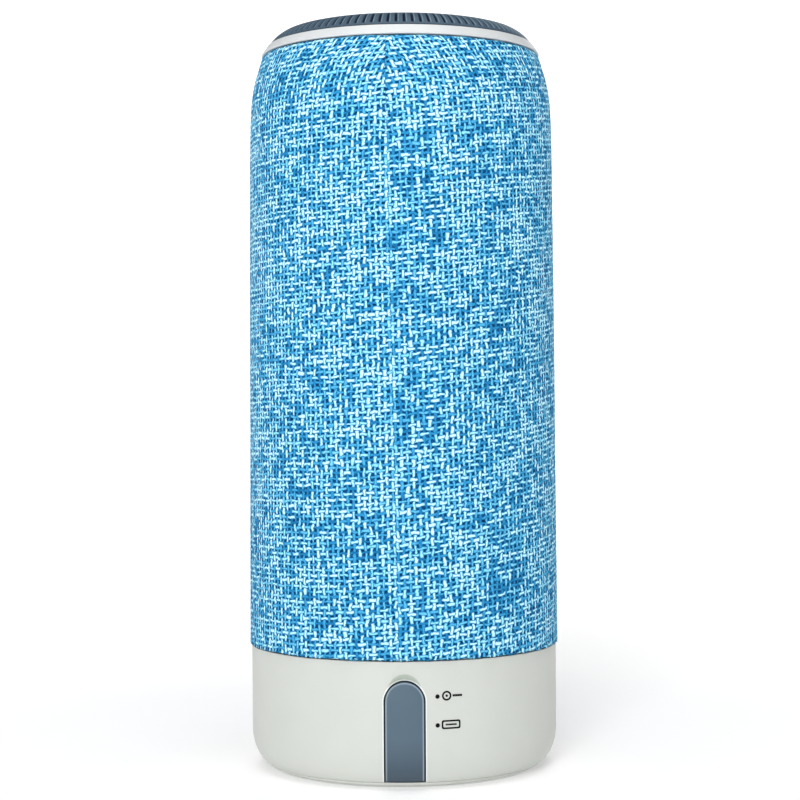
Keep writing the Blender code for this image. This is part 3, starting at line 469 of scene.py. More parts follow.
def solder_mask(name):
    """Green board lacquer with tracks that show through and small plated dots."""
    made, tree, place = new_material(name)
    track_inputs = {
        "Vector": place,
        "Color1": srgb(20, 92, 48),
        "Color2": srgb(14, 74, 38),
        "Mortar": srgb(44, 128, 74),
        "Scale": 320.0,
        "Mortar Size": 0.035,
        "Brick Width": 1.4,
        "Row Height": 0.5,
    }
    tracks = node(tree, "ShaderNodeTexBrick", track_inputs)
    cells = node(tree, "ShaderNodeTexVoronoi", {"Vector": place, "Scale": 420.0}).outputs["Distance"]
    dots = maths(tree, "LESS_THAN", cells, 0.16)
    tone = mix_colours(tree, dots, tracks.outputs["Color"], srgb(206, 200, 180))
    return finish_look(made, tone, 0.33, tracks.outputs["Fac"], 0.03, 0.6)


def shrink_wrap(name):
    """Blue film shrunk over a metal can, with faint lengthwise pulls."""
    made, tree, place = new_material(name)
    pulls = drawn_noise(tree, place, (60.0, 900.0, 900.0), 3.0)
    tone = soft_tones(tree, pulls, srgb(28, 78, 142), srgb(48, 108, 176))
    return finish_look(made, tone, 0.28, pulls, 0.05, coat=0.4)


def milky_lens(name):
    """Cloudy white light guide."""
    made, tree, place = new_material(name)
    cloud = noise(tree, place, 800.0, 3.0)
    tone = soft_tones(tree, cloud, srgb(214, 224, 228), srgb(240, 246, 248))
    return finish_look(made, tone, 0.22, cloud, 0.01, subsurface=0.25, subsurface_radius=(2 * MM,) * 3)


GROOVES = 104
GROOVE_DEPTH, GROOVE_HALF = 0.55, 0.19  # depth in millimetres, half width as a share of the pitch
GROOVE_FOOT = 179.2  # height where the grooves run out above the plain band
BAND_LOW = 178.6  # foot of the plain band


def ribbed_slate(name):
    """Slate plastic with painted shade in its grooves, a painted highlight beside each, and painted shadow at
    the band's foot.
    """
    made, tree, place = new_material(name)
    x, y, z = split(tree, place)
    turn = maths(tree, "ARCTAN2", y, x)
    phase = maths(tree, "FRACT", maths(tree, "MULTIPLY_ADD", turn, GROOVES / math.tau, GROOVES))
    offset = maths(tree, "SUBTRACT", phase, 0.5)
    # Painted shade: the middle of each groove is painted dark.
    core = fade(tree, maths(tree, "ABSOLUTE", offset), 0.09, GROOVE_HALF, 1.0, 0.0)
    # Painted highlight: a paler line along one side of each groove.
    from_edge = maths(tree, "ABSOLUTE", maths(tree, "SUBTRACT", offset, GROOVE_HALF + 0.06))
    edge = fade(tree, from_edge, 0.03, 0.1, 1.0, 0.0)
    level = vector_maths(tree, "MULTIPLY", place, (1.0, 1.0, 0.0))
    radius = vector_maths(tree, "LENGTH", level)
    above_foot = fade(tree, z, GROOVE_FOOT * MM, (GROOVE_FOOT + 0.3) * MM)
    reach = maths(tree, "MULTIPLY", above_foot, fade(tree, radius, 27.7 * MM, 28.2 * MM))
    plain = soft_tones(tree, noise(tree, place, 90.0, 3.0), srgb(70, 89, 105), srgb(64, 82, 98))
    paler = mix_colours(tree, maths(tree, "MULTIPLY", edge, reach), plain, srgb(112, 131, 144))
    tone = mix_colours(tree, maths(tree, "MULTIPLY", core, reach), paler, srgb(22, 33, 48))
    # Painted shadow: the foot of the plain band is painted near black, at the gap above the trim ring.
    foot = fade(tree, z, (BAND_LOW + 0.05) * MM, (BAND_LOW + 0.25) * MM, 0.85, 0.0)
    tone = mix_colours(tree, foot, tone, srgb(24, 32, 42))
    return finish_look(made, tone, 0.5, noise(tree, place, 9000.0), 0.015, 0.6, specular=0.15)


# Weave: threads are counted in the UV map named weave, one unit to a thread
PITCH = (1.36, 1.25)  # between warp threads, and between weft threads


def thread_layer(tree, across, along, shift):
    """One set of threads: its height above the ground, its tone, its rounding and its rise and fall.

    across counts threads, along runs with them, and each thread is on top at every second crossing.
    """
    number = maths(tree, "FLOOR", across)
    side = maths(tree, "SUBTRACT", maths(tree, "SUBTRACT", across, number), 0.5)
    step = maths(tree, "SUBTRACT", maths(tree, "SUBTRACT", along, 0.5 + shift), number)
    turns = maths(tree, "MULTIPLY", step, 0.5)
    over = maths(tree, "ROUND", turns)
    travel = maths(tree, "MULTIPLY", maths(tree, "SUBTRACT", turns, over), 2.0)
    identity = node(tree, "ShaderNodeCombineXYZ", {0: number, 1: over, 2: 3.0 + 5.0 * shift}).outputs[0]
    pick = node(tree, "ShaderNodeTexWhiteNoise", {"Vector": identity}, noise_dimensions="3D").outputs["Value"]
    seed = maths(tree, "ADD", number, 71.3 * (1 + shift))
    thread = node(tree, "ShaderNodeTexWhiteNoise", {"W": seed}, noise_dimensions="1D").outputs["Value"]

    ratio = maths(tree, "DIVIDE", side, fade(tree, pick, 0.0, 1.0, 0.22, 0.39))
    round_off = maths(tree, "SUBTRACT", 1.0, maths(tree, "MULTIPLY", ratio, ratio))
    arc = maths(tree, "COSINE", maths(tree, "MULTIPLY", travel, math.pi))
    height = maths(tree, "ADD", maths(tree, "MULTIPLY", arc, 0.5), maths(tree, "MULTIPLY", round_off, 0.35))
    shown = maths(tree, "GREATER_THAN", round_off, 0.0)
    height = maths(tree, "ADD", height, maths(tree, "MULTIPLY", maths(tree, "SUBTRACT", shown, 1.0), 9.0))

    flat = node(tree, "ShaderNodeCombineXYZ", {0: across, 1: along}).outputs[0]
    grain = noise(tree, vector_maths(tree, "MULTIPLY", flat, (8.0, 1.8, 0.0)), 1.3, 2.0, 0.6)
    tone = maths(tree, "MULTIPLY_ADD", thread, 0.26, maths(tree, "MULTIPLY", pick, 0.62))
    tone = maths(tree, "MULTIPLY_ADD", grain, 0.34, maths(tree, "SUBTRACT", tone, 0.05))
    return height, tone, round_off, arc


def woven(name):
    """Plain weave of blended azure, dark blue and near-white yarns, with painted shade on the threads' sides,
    where they dive and in the gaps.
    """
    made, tree, _ = new_material(name)
    raw = node(tree, "ShaderNodeUVMap", uv_map="weave").outputs["UV"]
    wander = node(tree, "ShaderNodeTexNoise", {"Vector": raw, "Scale": 0.7, "Detail": 3.0, "Roughness": 0.6})
    centred = vector_maths(tree, "SUBTRACT", wander.outputs["Color"], (0.5,) * 3)
    push = vector_maths(tree, "MULTIPLY", centred, (1.15,) * 3)
    u, v, _ = split(tree, vector_maths(tree, "ADD", raw, push))

    warp = thread_layer(tree, u, v, 0)
    weft = thread_layer(tree, v, u, 1)
    warp_on_top = maths(tree, "GREATER_THAN", warp[0], weft[0])
    height = maths(tree, "MAXIMUM", warp[0], weft[0])
    tone, rounding, arc = [
        node(tree, "ShaderNodeMix", {0: warp_on_top, 2: below, 3: above}, data_type="FLOAT").outputs[0]
        for below, above in zip(weft[1:], warp[1:])
    ]

    drift = maths(tree, "SUBTRACT", noise(tree, raw, 0.09, 2.0), 0.5)
    tone = maths(tree, "ADD", tone, maths(tree, "MULTIPLY", drift, 0.12))
    yarns = [
        (0.14, srgb(16, 100, 154)), (0.28, srgb(34, 132, 188)), (0.40, srgb(72, 166, 212)),
        (0.51, srgb(120, 204, 234)), (0.62, srgb(164, 228, 244)), (0.78, srgb(200, 242, 250)),
    ]
    # Painted shade: the gaps between the threads are painted dark navy.
    gaps = [(0.36, srgb(4, 40, 76)), (0.54, srgb(10, 70, 116)), (0.70, srgb(30, 112, 162))]
    ground = ramp(tree, noise(tree, raw, 0.8, 3.0, 0.7), gaps)
    rounding = maths(tree, "MAXIMUM", rounding, 0.0)
    # Painted shade: each thread darkens towards its sides and where it dives under a crossing one.
    dive_shade = fade(tree, arc, -0.9, 0.2, 0.35, 1.0)
    core = fade(tree, rounding, 0.5, 0.94)
    flank_shade_level = maths(tree, "MULTIPLY", rounding, maths(tree, "MULTIPLY_ADD", tone, 2.0, 0.5))
    flank_shade_stops = [(0.0, srgb(4, 44, 84)), (0.3, srgb(14, 92, 144)), (0.75, srgb(48, 144, 196))]
    flank_shade = ramp(tree, flank_shade_level, flank_shade_stops)
    shaded = mix_colours(tree, maths(tree, "MULTIPLY", core, dive_shade), flank_shade, ramp(tree, tone, yarns))
    colour = mix_colours(tree, maths(tree, "GREATER_THAN", height, -2.0), ground, shaded)
    return finish_look(made, colour, 0.82, maths(tree, "MAXIMUM", height, -0.7), 0.16, 0.7, specular=0.08)


MATERIALS = (
    moulded("pale_plastic", (193, 196, 191), (189, 192, 186), (0.42, 0.50), specular=0.35),
    moulded("slate_plastic", (77, 95, 110), (71, 88, 103), (0.36, 0.46), depth=0.02),
    moulded("slate_rubber", (75, 94, 109), (70, 89, 103), (0.56, 0.66), 7000.0, 0.018, 120.0, 0.4),
    pale_cup("pale_cup"),
    flap_rubber("flap_rubber"),
    ribbed_slate("ribbed_slate"),
    moulded("white_trim", (201, 204, 205), (197, 200, 201), (0.40, 0.48)),
    moulded("print_black", (18, 17, 18), (12, 12, 13), (0.6, 0.7), specular=0.1),
    woven("blue_weave"),
    moulded("dark_plastic", (42, 42, 45), (34, 34, 37), (0.45, 0.6), depth=0.03),
    moulded("dark_rubber", (38, 38, 40), (30, 30, 31), (0.7, 0.85), 5000.0, 0.03),
    brushed("steel", (0.62, 0.62, 0.63)),
    moulded("ferrite", (62, 61, 64), (46, 45, 48), (0.6, 0.75), 3500.0, 0.06, 300.0),
    pressed_paper("paper_cone"),
    resin_cloth("varnished_cloth"),
    wound_copper("copper"),
    solder_mask("board_green"),
    moulded("chip_black", (30, 30, 32), (24, 24, 26), (0.42, 0.55), 6000.0, 0.02, 400.0),
    shrink_wrap("cell_wrap"),
    milky_lens("lens"),
    moulded("cable_jacket", (48, 48, 51), (38, 38, 41), (0.5, 0.62), 3000.0, 0.02, 200.0),
)
LOOKS = {made.name.removesuffix("_look"): made for made in MATERIALS}


def dress(obj, look, body, *stands_for, slot=None):
    """Gives a new piece its material, and its CAD body and nodes. The slot argument is not used."""
    obj.data.materials.clear()
    obj.data.materials.append(LOOKS[look])
    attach(obj, body)
    if stands_for:
        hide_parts(*stands_for)
    return obj


# ---- base


def corner_radius(z):
    """Outer radius of the base at a height within its rounded lower edge."""
    drop = min(1.0, max(0.0, (CORNER_TOP - z) / CORNER_RISE))
    return BASE_RADIUS - CORNER_RUN * (1 - math.sqrt(1 - drop * drop))


def corner_line(low, high, steps=20):
    """The base's rounded lower edge from a higher to a lower height."""
    heights = [high + (low - high) * i / steps for i in range(steps + 1)]
    return [(corner_radius(z), z) for z in heights]


def post(name, radius, low, high, centre, steps=32):
    return prism(name, disc(radius, centre, steps), low, high)


def base_cover():
    """Base cup with its deck, screw bosses and port pocket."""
    inner = BASE_RADIUS - WALL
    deck_low, deck_top = 27.2, 29.2
    collar_top = 34.5
    profile = [
        (37.5, BASE_TOP, 0.25), (BASE_RADIUS, BASE_TOP, 0.45), *corner_line(SHELL_BOTTOM, CORNER_TOP),
        (corner_radius(SHELL_BOTTOM) - WALL, SHELL_BOTTOM), (inner - 0.8, 6.0), (inner, 10.0),
        (inner, deck_low), (5.0, deck_low), (5.0, deck_top), (33.4, deck_top), (33.4, collar_top),
        (34.9, collar_top), (34.9, BASE_TOP),
    ]
    shell = lathe("base_cover", soften(profile), 216)
    block = [(-36.8, 27.5), (-36.8, 10.0), (-36.1, 6.0), (-34.1, 2.1), (-32.6, 2.1), (-32.6, 3.9)]
    block += [(-31.4, 3.9), (-31.4, 27.5)]
    boolean(shell, prism("block", block, -7.5, 7.5, "X"), "UNION")
    boss_top = 16.0
    rib_start, rib_end = BOSS_RADIUS + 0.3, 36.8
    rib_outline = [(rib_start, -1), (rib_end, -1), (rib_end, 1), (rib_start, 1)]
    for angle in BOSS_ANGLES:
        centre = polar(BOSS_RADIUS, angle)
        boolean(shell, post("boss", 3.0, 4.3, boss_top, centre), "UNION")
        rib = prism("rib", rib_outline, 7.0, boss_top)
        rib.data.transform(Matrix.Rotation(math.radians(angle), 4, "Z"))
        boolean(shell, rib, "UNION")
        boolean(shell, post("hole", 1.35, 0.0, 14.5, centre))
    for angle in LEG_ANGLES:
        boolean(shell, post("hole", 1.4, 22.0, 34.0, polar(LEG_RADIUS, angle)))
    # Ways through for the key cable and the driver's lead
    boolean(shell, post("hole", 1.4, 20.0, 50.0, (34.15, 0)))
    boolean(shell, post("hole", 1.9, 24.4, 32.0, polar(28.6, 150)))

    half = FLAP_HALF + GAP
    boolean(shell, prism("pocket", arch(half, 7.0, FLAP_TOP + GAP, 32), -45.0, POCKET_FLOOR, "Y"))
    floor = HINGE[0] + BEAD_RADIUS + 0.4
    slot = [(-45, 7.4), (POCKET_FLOOR, 7.4), (floor, 4.6), (floor, -2.0), (-45, -2.0)]
    boolean(shell, prism("hinge_slot", slot, -half, half, "X"))
    boolean(shell, prism("jack_opening", disc(2.9, (0, JACK_Z), 40), *BORE_DEPTHS, "Y"))
    boolean(shell, prism("usb_opening", rounded_box(4.1, 1.7, 0.7, (0, USB_Z)), *BORE_DEPTHS, "Y"))
    boolean(shell, scoop_ball())
    break_edges(shell, 0.24, lambda x, y, z: y < -35.0 and abs(x) < 6.5 and z < 29.0, segments=3)
    dress(shell, "pale_cup", "housing", "base_shell", slot="pale_plastic")


def scoop_ball():
    """The ball that hollows out the fingernail scoop."""
    mesh = bpy.data.meshes.new("scoop")
    shape = bmesh.new()
    bmesh.ops.create_uvsphere(shape, u_segments=72, v_segments=48, radius=SCOOP[0] * MM)
    bmesh.ops.translate(shape, vec=(0, SCOOP[1] * MM, SCOOP[2] * MM), verts=shape.verts)
    shape.to_mesh(mesh)
    shape.free()
    return add_object("scoop", mesh)


def bottom_cover():
    """Base plate with its visible rim, foot groove and screw bores."""
    profile = [
        (0, 3.6), (32.3, 3.6), (32.3, 1.45), (34.3, 1.45, 0.12), (34.25, 0.9, 0.4), (33.3, 0.4, 0.5),
        (31.2, 0.4, 0.15), (31.2, 1.2), (27.4, 1.2), (27.4, 0.4, 0.15), (0, 0.4),
    ]
    plate = lathe("bottom_cover", soften(profile, closed=False), 200)
    for angle in BOSS_ANGLES:
        boolean(plate, post("bore", 2.1, 0.0, 2.6, polar(BOSS_RADIUS, angle), 40))
        boolean(plate, post("hole", 1.4, 2.0, 6.0, polar(BOSS_RADIUS, angle)))
    tidy_mesh(plate)
    dress(plate, "pale_plastic", "housing", "base_plate")

    foot = [
        (30.9, 0.9), (30.9, 0.0, 0.35), (29.9, 0.0, 0.12), (29.7, 0.22, 0.1), (28.9, 0.22, 0.1),
        (28.7, 0.0, 0.12), (27.7, 0.0, 0.35), (27.7, 0.9),
    ]
    dress(lathe("rubber_foot", soften(foot), 200), "dark_rubber", "housing", "foot_ring")


def screw(name, centre, low, length, head_radius, shank_radius, stands_for, upward=True):
    """Pan-head cross-slot screw with a threaded shank."""
    threads, pitch = [], 0.5
    top, neck = low + length, low + 0.9
    for i in range(int((length - 2.6) / pitch)):
        z = low + 1.3 + i * pitch
        threads += [(shank_radius, z), (shank_radius * 0.8, z + pitch / 2)]
    head = [(shank_radius, neck), (head_radius, neck, 0.2), (head_radius * 0.9, low, 0.5), (0, low)]
    profile = [(0, top), (shank_radius * 0.35, top), *reversed(threads), *soften(head, False)]
    piece = lathe(name, profile, 36, 30.0)
    for turn in (0, 90):
        slot = prism("slot", rounded_box(head_radius * 0.62, head_radius * 0.14, 0.1), low - 1.0, low + 0.55)
        slot.data.transform(Matrix.Rotation(math.radians(turn + 20), 4, "Z"))
        boolean(piece, slot)
    if not upward:
        flip = Matrix.Translation((0, 0, 2 * low * MM)) @ Matrix.Diagonal((1, 1, -1, 1))
        piece.data.transform(flip)
        piece.data.flip_normals()
    piece.data.transform(Matrix.Translation((centre[0] * MM, centre[1] * MM, 0)))
    tidy_mesh(piece, 30.0)
    dress(piece, "steel", "housing", stands_for)


def all_screws():
    for number, angle in enumerate(BOSS_ANGLES, 1):
        screw(f"cover_screw_{number}", polar(BOSS_RADIUS, angle), 1.4, 10.0, 1.7, 1.0, f"base_screw_{number}")
    for number, angle in enumerate(LEG_ANGLES, 1):
        low = span(f"chassis_screw_{number}")[0].z
        screw(f"leg_screw_{number}", polar(LEG_RADIUS, angle), low, 11.0, 2.1, 0.9, f"chassis_screw_{number}")
        high = span(f"driver_screw_{number}")[1].z
        place = polar(DRIVER_RADIUS, angle)
        screw(f"speaker_screw_{number}", place, high, 7.5, 1.6, 0.8, f"driver_screw_{number}", upward=False)


def rubber_flap():
    """Soft flap over the ports: the base's own outline, a hinge bead and two plugs on the back."""
    low = FLAP_LOW.z - 0.5
    side = [(0, 30), (BASE_RADIUS, 30), *corner_line(low, CORNER_TOP, 28), (0, low)]
    back, above = POCKET_FLOOR - GAP, FLAP_TOP + 1
    y, z = HINGE
    bead = [(y + a, z + b) for a, b in (polar(BEAD_RADIUS, turn) for turn in range(-60, 61, 12))]
    foot = [(-40, FLAP_LOW.z), (y + BEAD_RADIUS * 0.5, FLAP_LOW.z)]
    section = [(-40, above), *foot, *bead, (back, 7.2), (back, above)]
    flap = prism("rubber_flap", arch(FLAP_HALF, 1.0, FLAP_TOP, 32), -41.5, -31.5, "Y")
    boolean(flap, prism("section", section, -7.0, 7.0, "X"), "INTERSECT")
    boolean(flap, lathe("surface", side, 288), "INTERSECT")
    break_edges(flap, 0.38, lambda x, y, z: y < -35.0, angle=38.0, segments=4)
    root, end = back - 0.4, POCKET_FLOOR + 0.9
    plug = lathe("plug", soften([(0, 0), (2.4, 0), (2.4, end - root, 0.5), (0, end - root)], False), 40)
    inward = Matrix.Rotation(math.radians(-90), 4, "X")
    plug.data.transform(Matrix.Translation((0, root * MM, JACK_Z * MM)) @ inward)
    boolean(flap, plug, "UNION")
    tab = prism("tab", rounded_box(3.6, 1.2, 0.5, (0, USB_Z)), root, end, "Y")
    boolean(flap, tab, "UNION")
    tidy_mesh(flap)
    dress(flap, "flap_rubber", "flap", "port_flap", slot="slate_rubber")


def port_sockets():
    """Audio jack and charging socket behind the flap."""
    jack = prism("jack_housing", rounded_box(3.2, 3.1, 0.5, (0, JACK_Z)), -31.0, -25.6, "Y")
    nose = prism("nose", disc(2.5, (0, JACK_Z), 48), -34.6, -30.0, "Y")
    boolean(jack, nose, "UNION")
    boolean(jack, prism("bore", disc(1.8, (0, JACK_Z), 48), -36.0, -27.0, "Y"))
    break_edges(jack, 0.18, lambda x, y, z: y < -33.0, segments=3)
    dress(jack, "dark_plastic", "housing", "aux_jack")

    shell = prism("charge_shell", rounded_box(3.75, 1.35, 0.55, (0, USB_Z)), -34.6, -25.6, "Y")
    boolean(shell, prism("mouth", rounded_box(3.4, 1.0, 0.4, (0, USB_Z)), -36.0, -27.5, "Y"))
    break_edges(shell, 0.1, lambda x, y, z: y < -34.0)
    dress(shell, "steel", "housing", "usb_shell")
    tongue = prism("charge_tongue", rounded_box(2.4, 0.3, 0.12, (0, USB_Z + 0.15)), -34.0, -27.8, "Y")
    break_edges(tongue, 0.1, lambda x, y, z: y < -33.5)
    dress(tongue, "dark_plastic", "housing", "usb_tongue")


def wrapped_print(name, outlines, centre, proud=0.03):
    """Printed marks laid on the base: (arc, z) outlines, wrapped round it and very slightly raised."""
    verts, faces = [], []
    for outline, hole in outlines:
        outline, hole = finer(outline), finer(hole) if hole else None
        ring = hole or [centre] * len(outline)
        start, count = len(verts), len(outline)
        for place in (*outline, *ring):
            turn = place[0] / BASE_RADIUS
            reach = corner_radius(place[1]) + proud
            verts.append((reach * math.sin(turn), -reach * math.cos(turn), place[1]))
        for i in range(count):
            j = (i + 1) % count
            faces.append((start + i, start + j, start + count + j, start + count + i))
    dress(add_mesh(name, verts, faces), "print_black", "housing", slot="chip_black")


def finer(outline, parts=5):
    """The same outline with each side cut in equal parts, so that it can follow a curved face."""
    found = []
    for (a, b), (c, d) in zip(outline, outline[1:] + outline[:1]):
        found += [(a + (c - a) * i / parts, b + (d - b) * i / parts) for i in range(parts)]
    return found


def port_marks():
    """Signs beside the flap, each after a dot: a ring and pin for the jack, a flat socket for charging."""
    jack_z, charge_z = JACK_Z + 1.6, USB_Z + 1.9
    ring = (9.9, jack_z + 0.1)
    pin = (12.5, jack_z + 0.1)
    plate = (10.95, charge_z + 0.1)
    jack_sign = [
        (disc(1.15, ring, 40), disc(0.72, ring, 40)), (disc(0.30, ring, 40), disc(0.01, ring, 40)),
        frame_of(pin, (1.2, 0.26), (1.1, 0.01)),
    ]
    charge_sign = [frame_of(plate, (2.3, 1.05), (1.9, 0.65)), frame_of(plate, (1.35, 0.2), (1.3, 0.01))]
    marks = (("jack_mark", jack_z, jack_sign, ring), ("charge_mark", charge_z, charge_sign, plate))
    for name, z, sign, centre in marks:
        dot = (7.7, z)
        wrapped_print(name + "_dot", [(disc(0.52, dot), None)], dot)
        wrapped_print(name + "_sign", sign, centre)


def frame_of(centre, outer, inner):
    """A rounded rectangle with a smaller one to leave out; outer and inner are half sizes."""
    return (rounded_box(*outer, min(outer) * 0.5, centre), rounded_box(*inner, min(inner) * 0.5, centre))


# ---- woven sleeve

LEAN = (-1.8, -3.9)  # where the seam starts, from straight ahead, and how far it turns by the top, in degrees
SEAM_TAKE_UP = 0.7  # share of the shoulder's tightening that the seam swallows
RELIEF = 0.11  # height of the threads above the gaps between them
UNEVEN = 0.12  # how much that height varies, as a share of it
SEAM_DEPTH, SEAM_WIDTH, SEAM_TUCK = 0.16, 0.7, 0.25  # the dip at the seam, its half width, and the tuck in it
CLIMB, CLIMB_CHANGE = 4.0, 3.0  # slope of the weft threads in degrees, and its change from side to side


def sleeve_line():
    """The sleeve's side from its lower hem to its upper one, both tucked in."""
    low, top = SLEEVE_LOW, SLEEVE_TOP
    points = [
        (37.35, low + 1.0), (37.65, low + 0.35), (38.1, low + 0.02), (38.38, low + 0.45),
        (38.44, low + 2.5), (38.33, 60.0), (38.17, 90.0), (37.95, 125.0), (37.72, 152.0), (37.4, 163.0),
        (36.55, 169.0), (35.45, 172.9), (34.8, top - 0.3), (34.5, top + 0.45), (34.1, top + 0.55),
        (33.8, top + 0.1),
    ]
    return np.array(smooth_line(points, 16))


def woven_sleeve():
    """One cloth tube with a seam on the port side. The mesh has two rows of points to each thread."""
    line = sleeve_line()
    run = np.concatenate(([0.0], np.cumsum(np.hypot(*np.diff(line, axis=0).T))))
    tangent = np.gradient(line, run, axis=0)
    wide = line[:, 0].max()

    # Threads run square to each other, and the seam swallows the width that the shoulder loses
    tightened = wide + SEAM_TAKE_UP * np.minimum(line[:, 0] + 0.6 - wide, 0.0)
    half_turn = math.pi * tightened / PITCH[0]
    columns = 2 * math.ceil(half_turn.max())
    u = np.arange(-columns, columns + 1) / 2

    # Weft threads climb gently to the right, most just right of the seam and least just left of it
    arc = u * PITCH[0]
    from_seam = np.where(arc < 0, arc + math.pi * wide, arc - math.pi * wide)
    swing = np.tanh((from_seam + 8.0) / 18.0) * np.cos(from_seam / wide / 2)
    slope = np.radians(CLIMB + CLIMB_CHANGE * swing)
    climb = np.concatenate(([0.0], np.cumsum(np.tan((slope[1:] + slope[:-1]) / 2) * np.diff(arc))))
    climb -= climb.min()

    rows = np.arange(-math.ceil(2 * climb.max() / PITCH[1]), math.ceil(2 * run[-1] / PITCH[1]) + 2)
    grid_u, grid_v = np.meshgrid(u, rows / 2, indexing="ij")
    height = (np.arange(-columns, columns + 1)[:, None] % 2 + rows[None, :] % 2) / 2
    height = height + rng.normal(0.0, UNEVEN, height.shape)

    def up_the_side(at_u):
        return np.clip(grid_v * PITCH[1] + np.interp(at_u, u, climb), 0.0, run[-1])

    # Threads that would pass the seam or a hem stop there
    for _ in range(6):
        limit = np.interp(up_the_side(grid_u), run, half_turn)
        grid_u = np.clip(grid_u, -limit, limit)
    distance = up_the_side(grid_u)
    grid_v = (distance - np.interp(grid_u, u, climb)) / PITCH[1]
    at_seam = np.abs(grid_u) > limit - 1e-6

    reach, z, turn_r, turn_z = (np.interp(distance, run, column) for column in (*line.T, *tangent.T))
    spin = grid_u / limit * math.pi
    off_seam = (math.pi - np.abs(spin)) * reach
    dip = SEAM_DEPTH * np.exp(-((off_seam / SEAM_WIDTH) ** 2)) + np.where(at_seam, SEAM_TUCK, 0.0)
    lift = RELIEF * (np.clip(height, 0, 1) - 1.0) * np.where(at_seam, 0.0, 1.0) - dip
    reach = reach + turn_z * lift
    z = z - turn_r * lift
    share = (z - SLEEVE_LOW) / (SLEEVE_TOP - SLEEVE_LOW)
    facing = np.radians(LEAN[0] + LEAN[1] * share) + math.pi + spin
    points = np.stack((reach * np.sin(facing), -reach * np.cos(facing), z), axis=-1).reshape(-1, 3)

    # One vertex for each different place, and faces without the corners that fell together
    keys = np.round(np.stack((grid_u, grid_v), axis=-1).reshape(-1, 2), 5)
    _, first, same = np.unique(keys, axis=0, return_index=True, return_inverse=True)
    index = same.reshape(grid_u.shape)
    corners = np.stack((index[:-1, :-1], index[1:, :-1], index[1:, 1:], index[:-1, 1:]), axis=-1)
    faces = []
    for quad in corners.reshape(-1, 4).tolist():
        kept = [c for i, c in enumerate(quad) if c != quad[i - 1]]
        if len(set(kept)) > 2 and len(set(kept)) == len(kept):
            faces.append(kept)
    mesh = bpy.data.meshes.new("cloth_sleeve")
    mesh.from_pydata((points[first] * MM).tolist(), [], faces)
    weave = mesh.uv_layers.new(name="weave")
    corner_vertex = np.zeros(len(mesh.loops), np.int32)
    mesh.loops.foreach_get("vertex_index", corner_vertex)
    weave.uv.foreach_set("vector", keys[first][corner_vertex].astype(np.float32).ravel())
    mesh.shade_smooth()
    sleeve = add_object("cloth_sleeve", mesh)
    dress(sleeve, "blue_weave", "housing", "fabric_sleeve")


# ---- top ring and volume ring


def trim_ring():
    """Sloped pale ring between the cloth and the volume ring."""
    edge = RING_TOP - 2.4
    profile = [
        (33.3, RING_TOP, 0.2), (33.95, RING_TOP - 1.0, 1.5), (34.75, edge + 0.2, 0.2),
        (34.4, edge, 0.1), (31.0, edge), (31.0, RING_LOW), (29.0, RING_LOW), (29.0, RING_TOP),
    ]
    dress(lathe("trim_ring", soften(profile), 240), "white_trim", "housing", "top_ring", slot="pale_plastic")


SAMPLES_PER_GROOVE = 14


def volume_crown():
    """Volume ring: a domed side with radial grooves, over a plain band."""
    low, seat = BAND_LOW, 177.8
    dome = smooth_line([(27.3, CROWN_TOP), (29.2, 181.85), (31.0, 180.75), (32.3, 179.5), (33.0, low)], 8)
    profile = [
        (25.7, CROWN_TOP - 0.5), (26.0, CROWN_TOP - 0.15), (26.6, CROWN_TOP), *dome, (28.3, low),
        (28.3, seat), (24.3, seat), (24.3, seat + 1.3), (25.7, seat + 1.3),
    ]

    def groove(radius, z, turn):
        """Cuts the grooves into the domed side, fading out at the band below and at the flat top."""
        if z < low + 0.1 or radius < 27.6:
            return radius, z
        share = smooth_step(z, GROOVE_FOOT, GROOVE_FOOT + 0.35) * smooth_step(radius, 27.7, 28.3)
        phase = (turn * GROOVES / math.tau) % 1.0
        cut = max(0.0, 1.0 - abs(phase - 0.5) / GROOVE_HALF)
        depth = GROOVE_DEPTH * share * (1 - (1 - cut) ** 2)
        lean = math.radians(20 + 60 * (z - low) / (CROWN_TOP - low))
        return radius - depth * math.cos(lean), z - depth * math.sin(lean)

    crown = lathe("volume_crown", profile, GROOVES * SAMPLES_PER_GROOVE, 40.0, bend=groove)
    dress(crown, "ribbed_slate", "volume_knob", "volume_ring", slot="slate_plastic")


def smooth_step(value, low, high):
    t = min(1.0, max(0.0, (value - low) / (high - low)))
    return t * t * (3 - 2 * t)


# ---- control top


def control_top():
    """Cover plate with wells for the keys and the status light, on three pillars."""
    underside = 179.5
    profile = [
        (0, PLATE_TOP - 0.12), (22.8, PLATE_TOP - 0.12, 0.6), (23.6, PLATE_TOP, 0.4),
        (PLATE_RADIUS, PLATE_TOP, 0.35), (PLATE_RADIUS, underside, 0.2), (0, underside),
    ]
    plate = lathe("control_top", soften(profile, False), 200)
    for angle in (135, 225, 315):
        place = polar(20.6, angle)
        boolean(plate, post("pillar", 1.8, PLATE_LOW + 1.9, underside + 1.0, place), "UNION")
        boolean(plate, post("peg", 1.1, PLATE_LOW, PLATE_LOW + 2.6, place), "UNION")
    through = (175.0, 190.0)
    for name in KEY_SIGNS:
        x, y, radius = key_place(name)
        boolean(plate, post("well", radius + 0.28, *through, (x, y), 64))
    boolean(plate, post("light_hole", 1.0, *through, LIGHT_PLACE))
    break_edges(plate, 0.14, lambda x, y, z: z > 181.7 and math.hypot(x, y) < 22.2, segments=3)
    dress(plate, "slate_plastic", "housing", "control_plate")
    light = [(0, PLATE_TOP), (0.5, PLATE_TOP - 0.02), (0.8, PLATE_TOP - 0.2), (0.8, 179.0), (0, 179.0)]
    dress(lathe("light_guide", light, 40, centre=LIGHT_PLACE), "lens", "housing", "status_light")


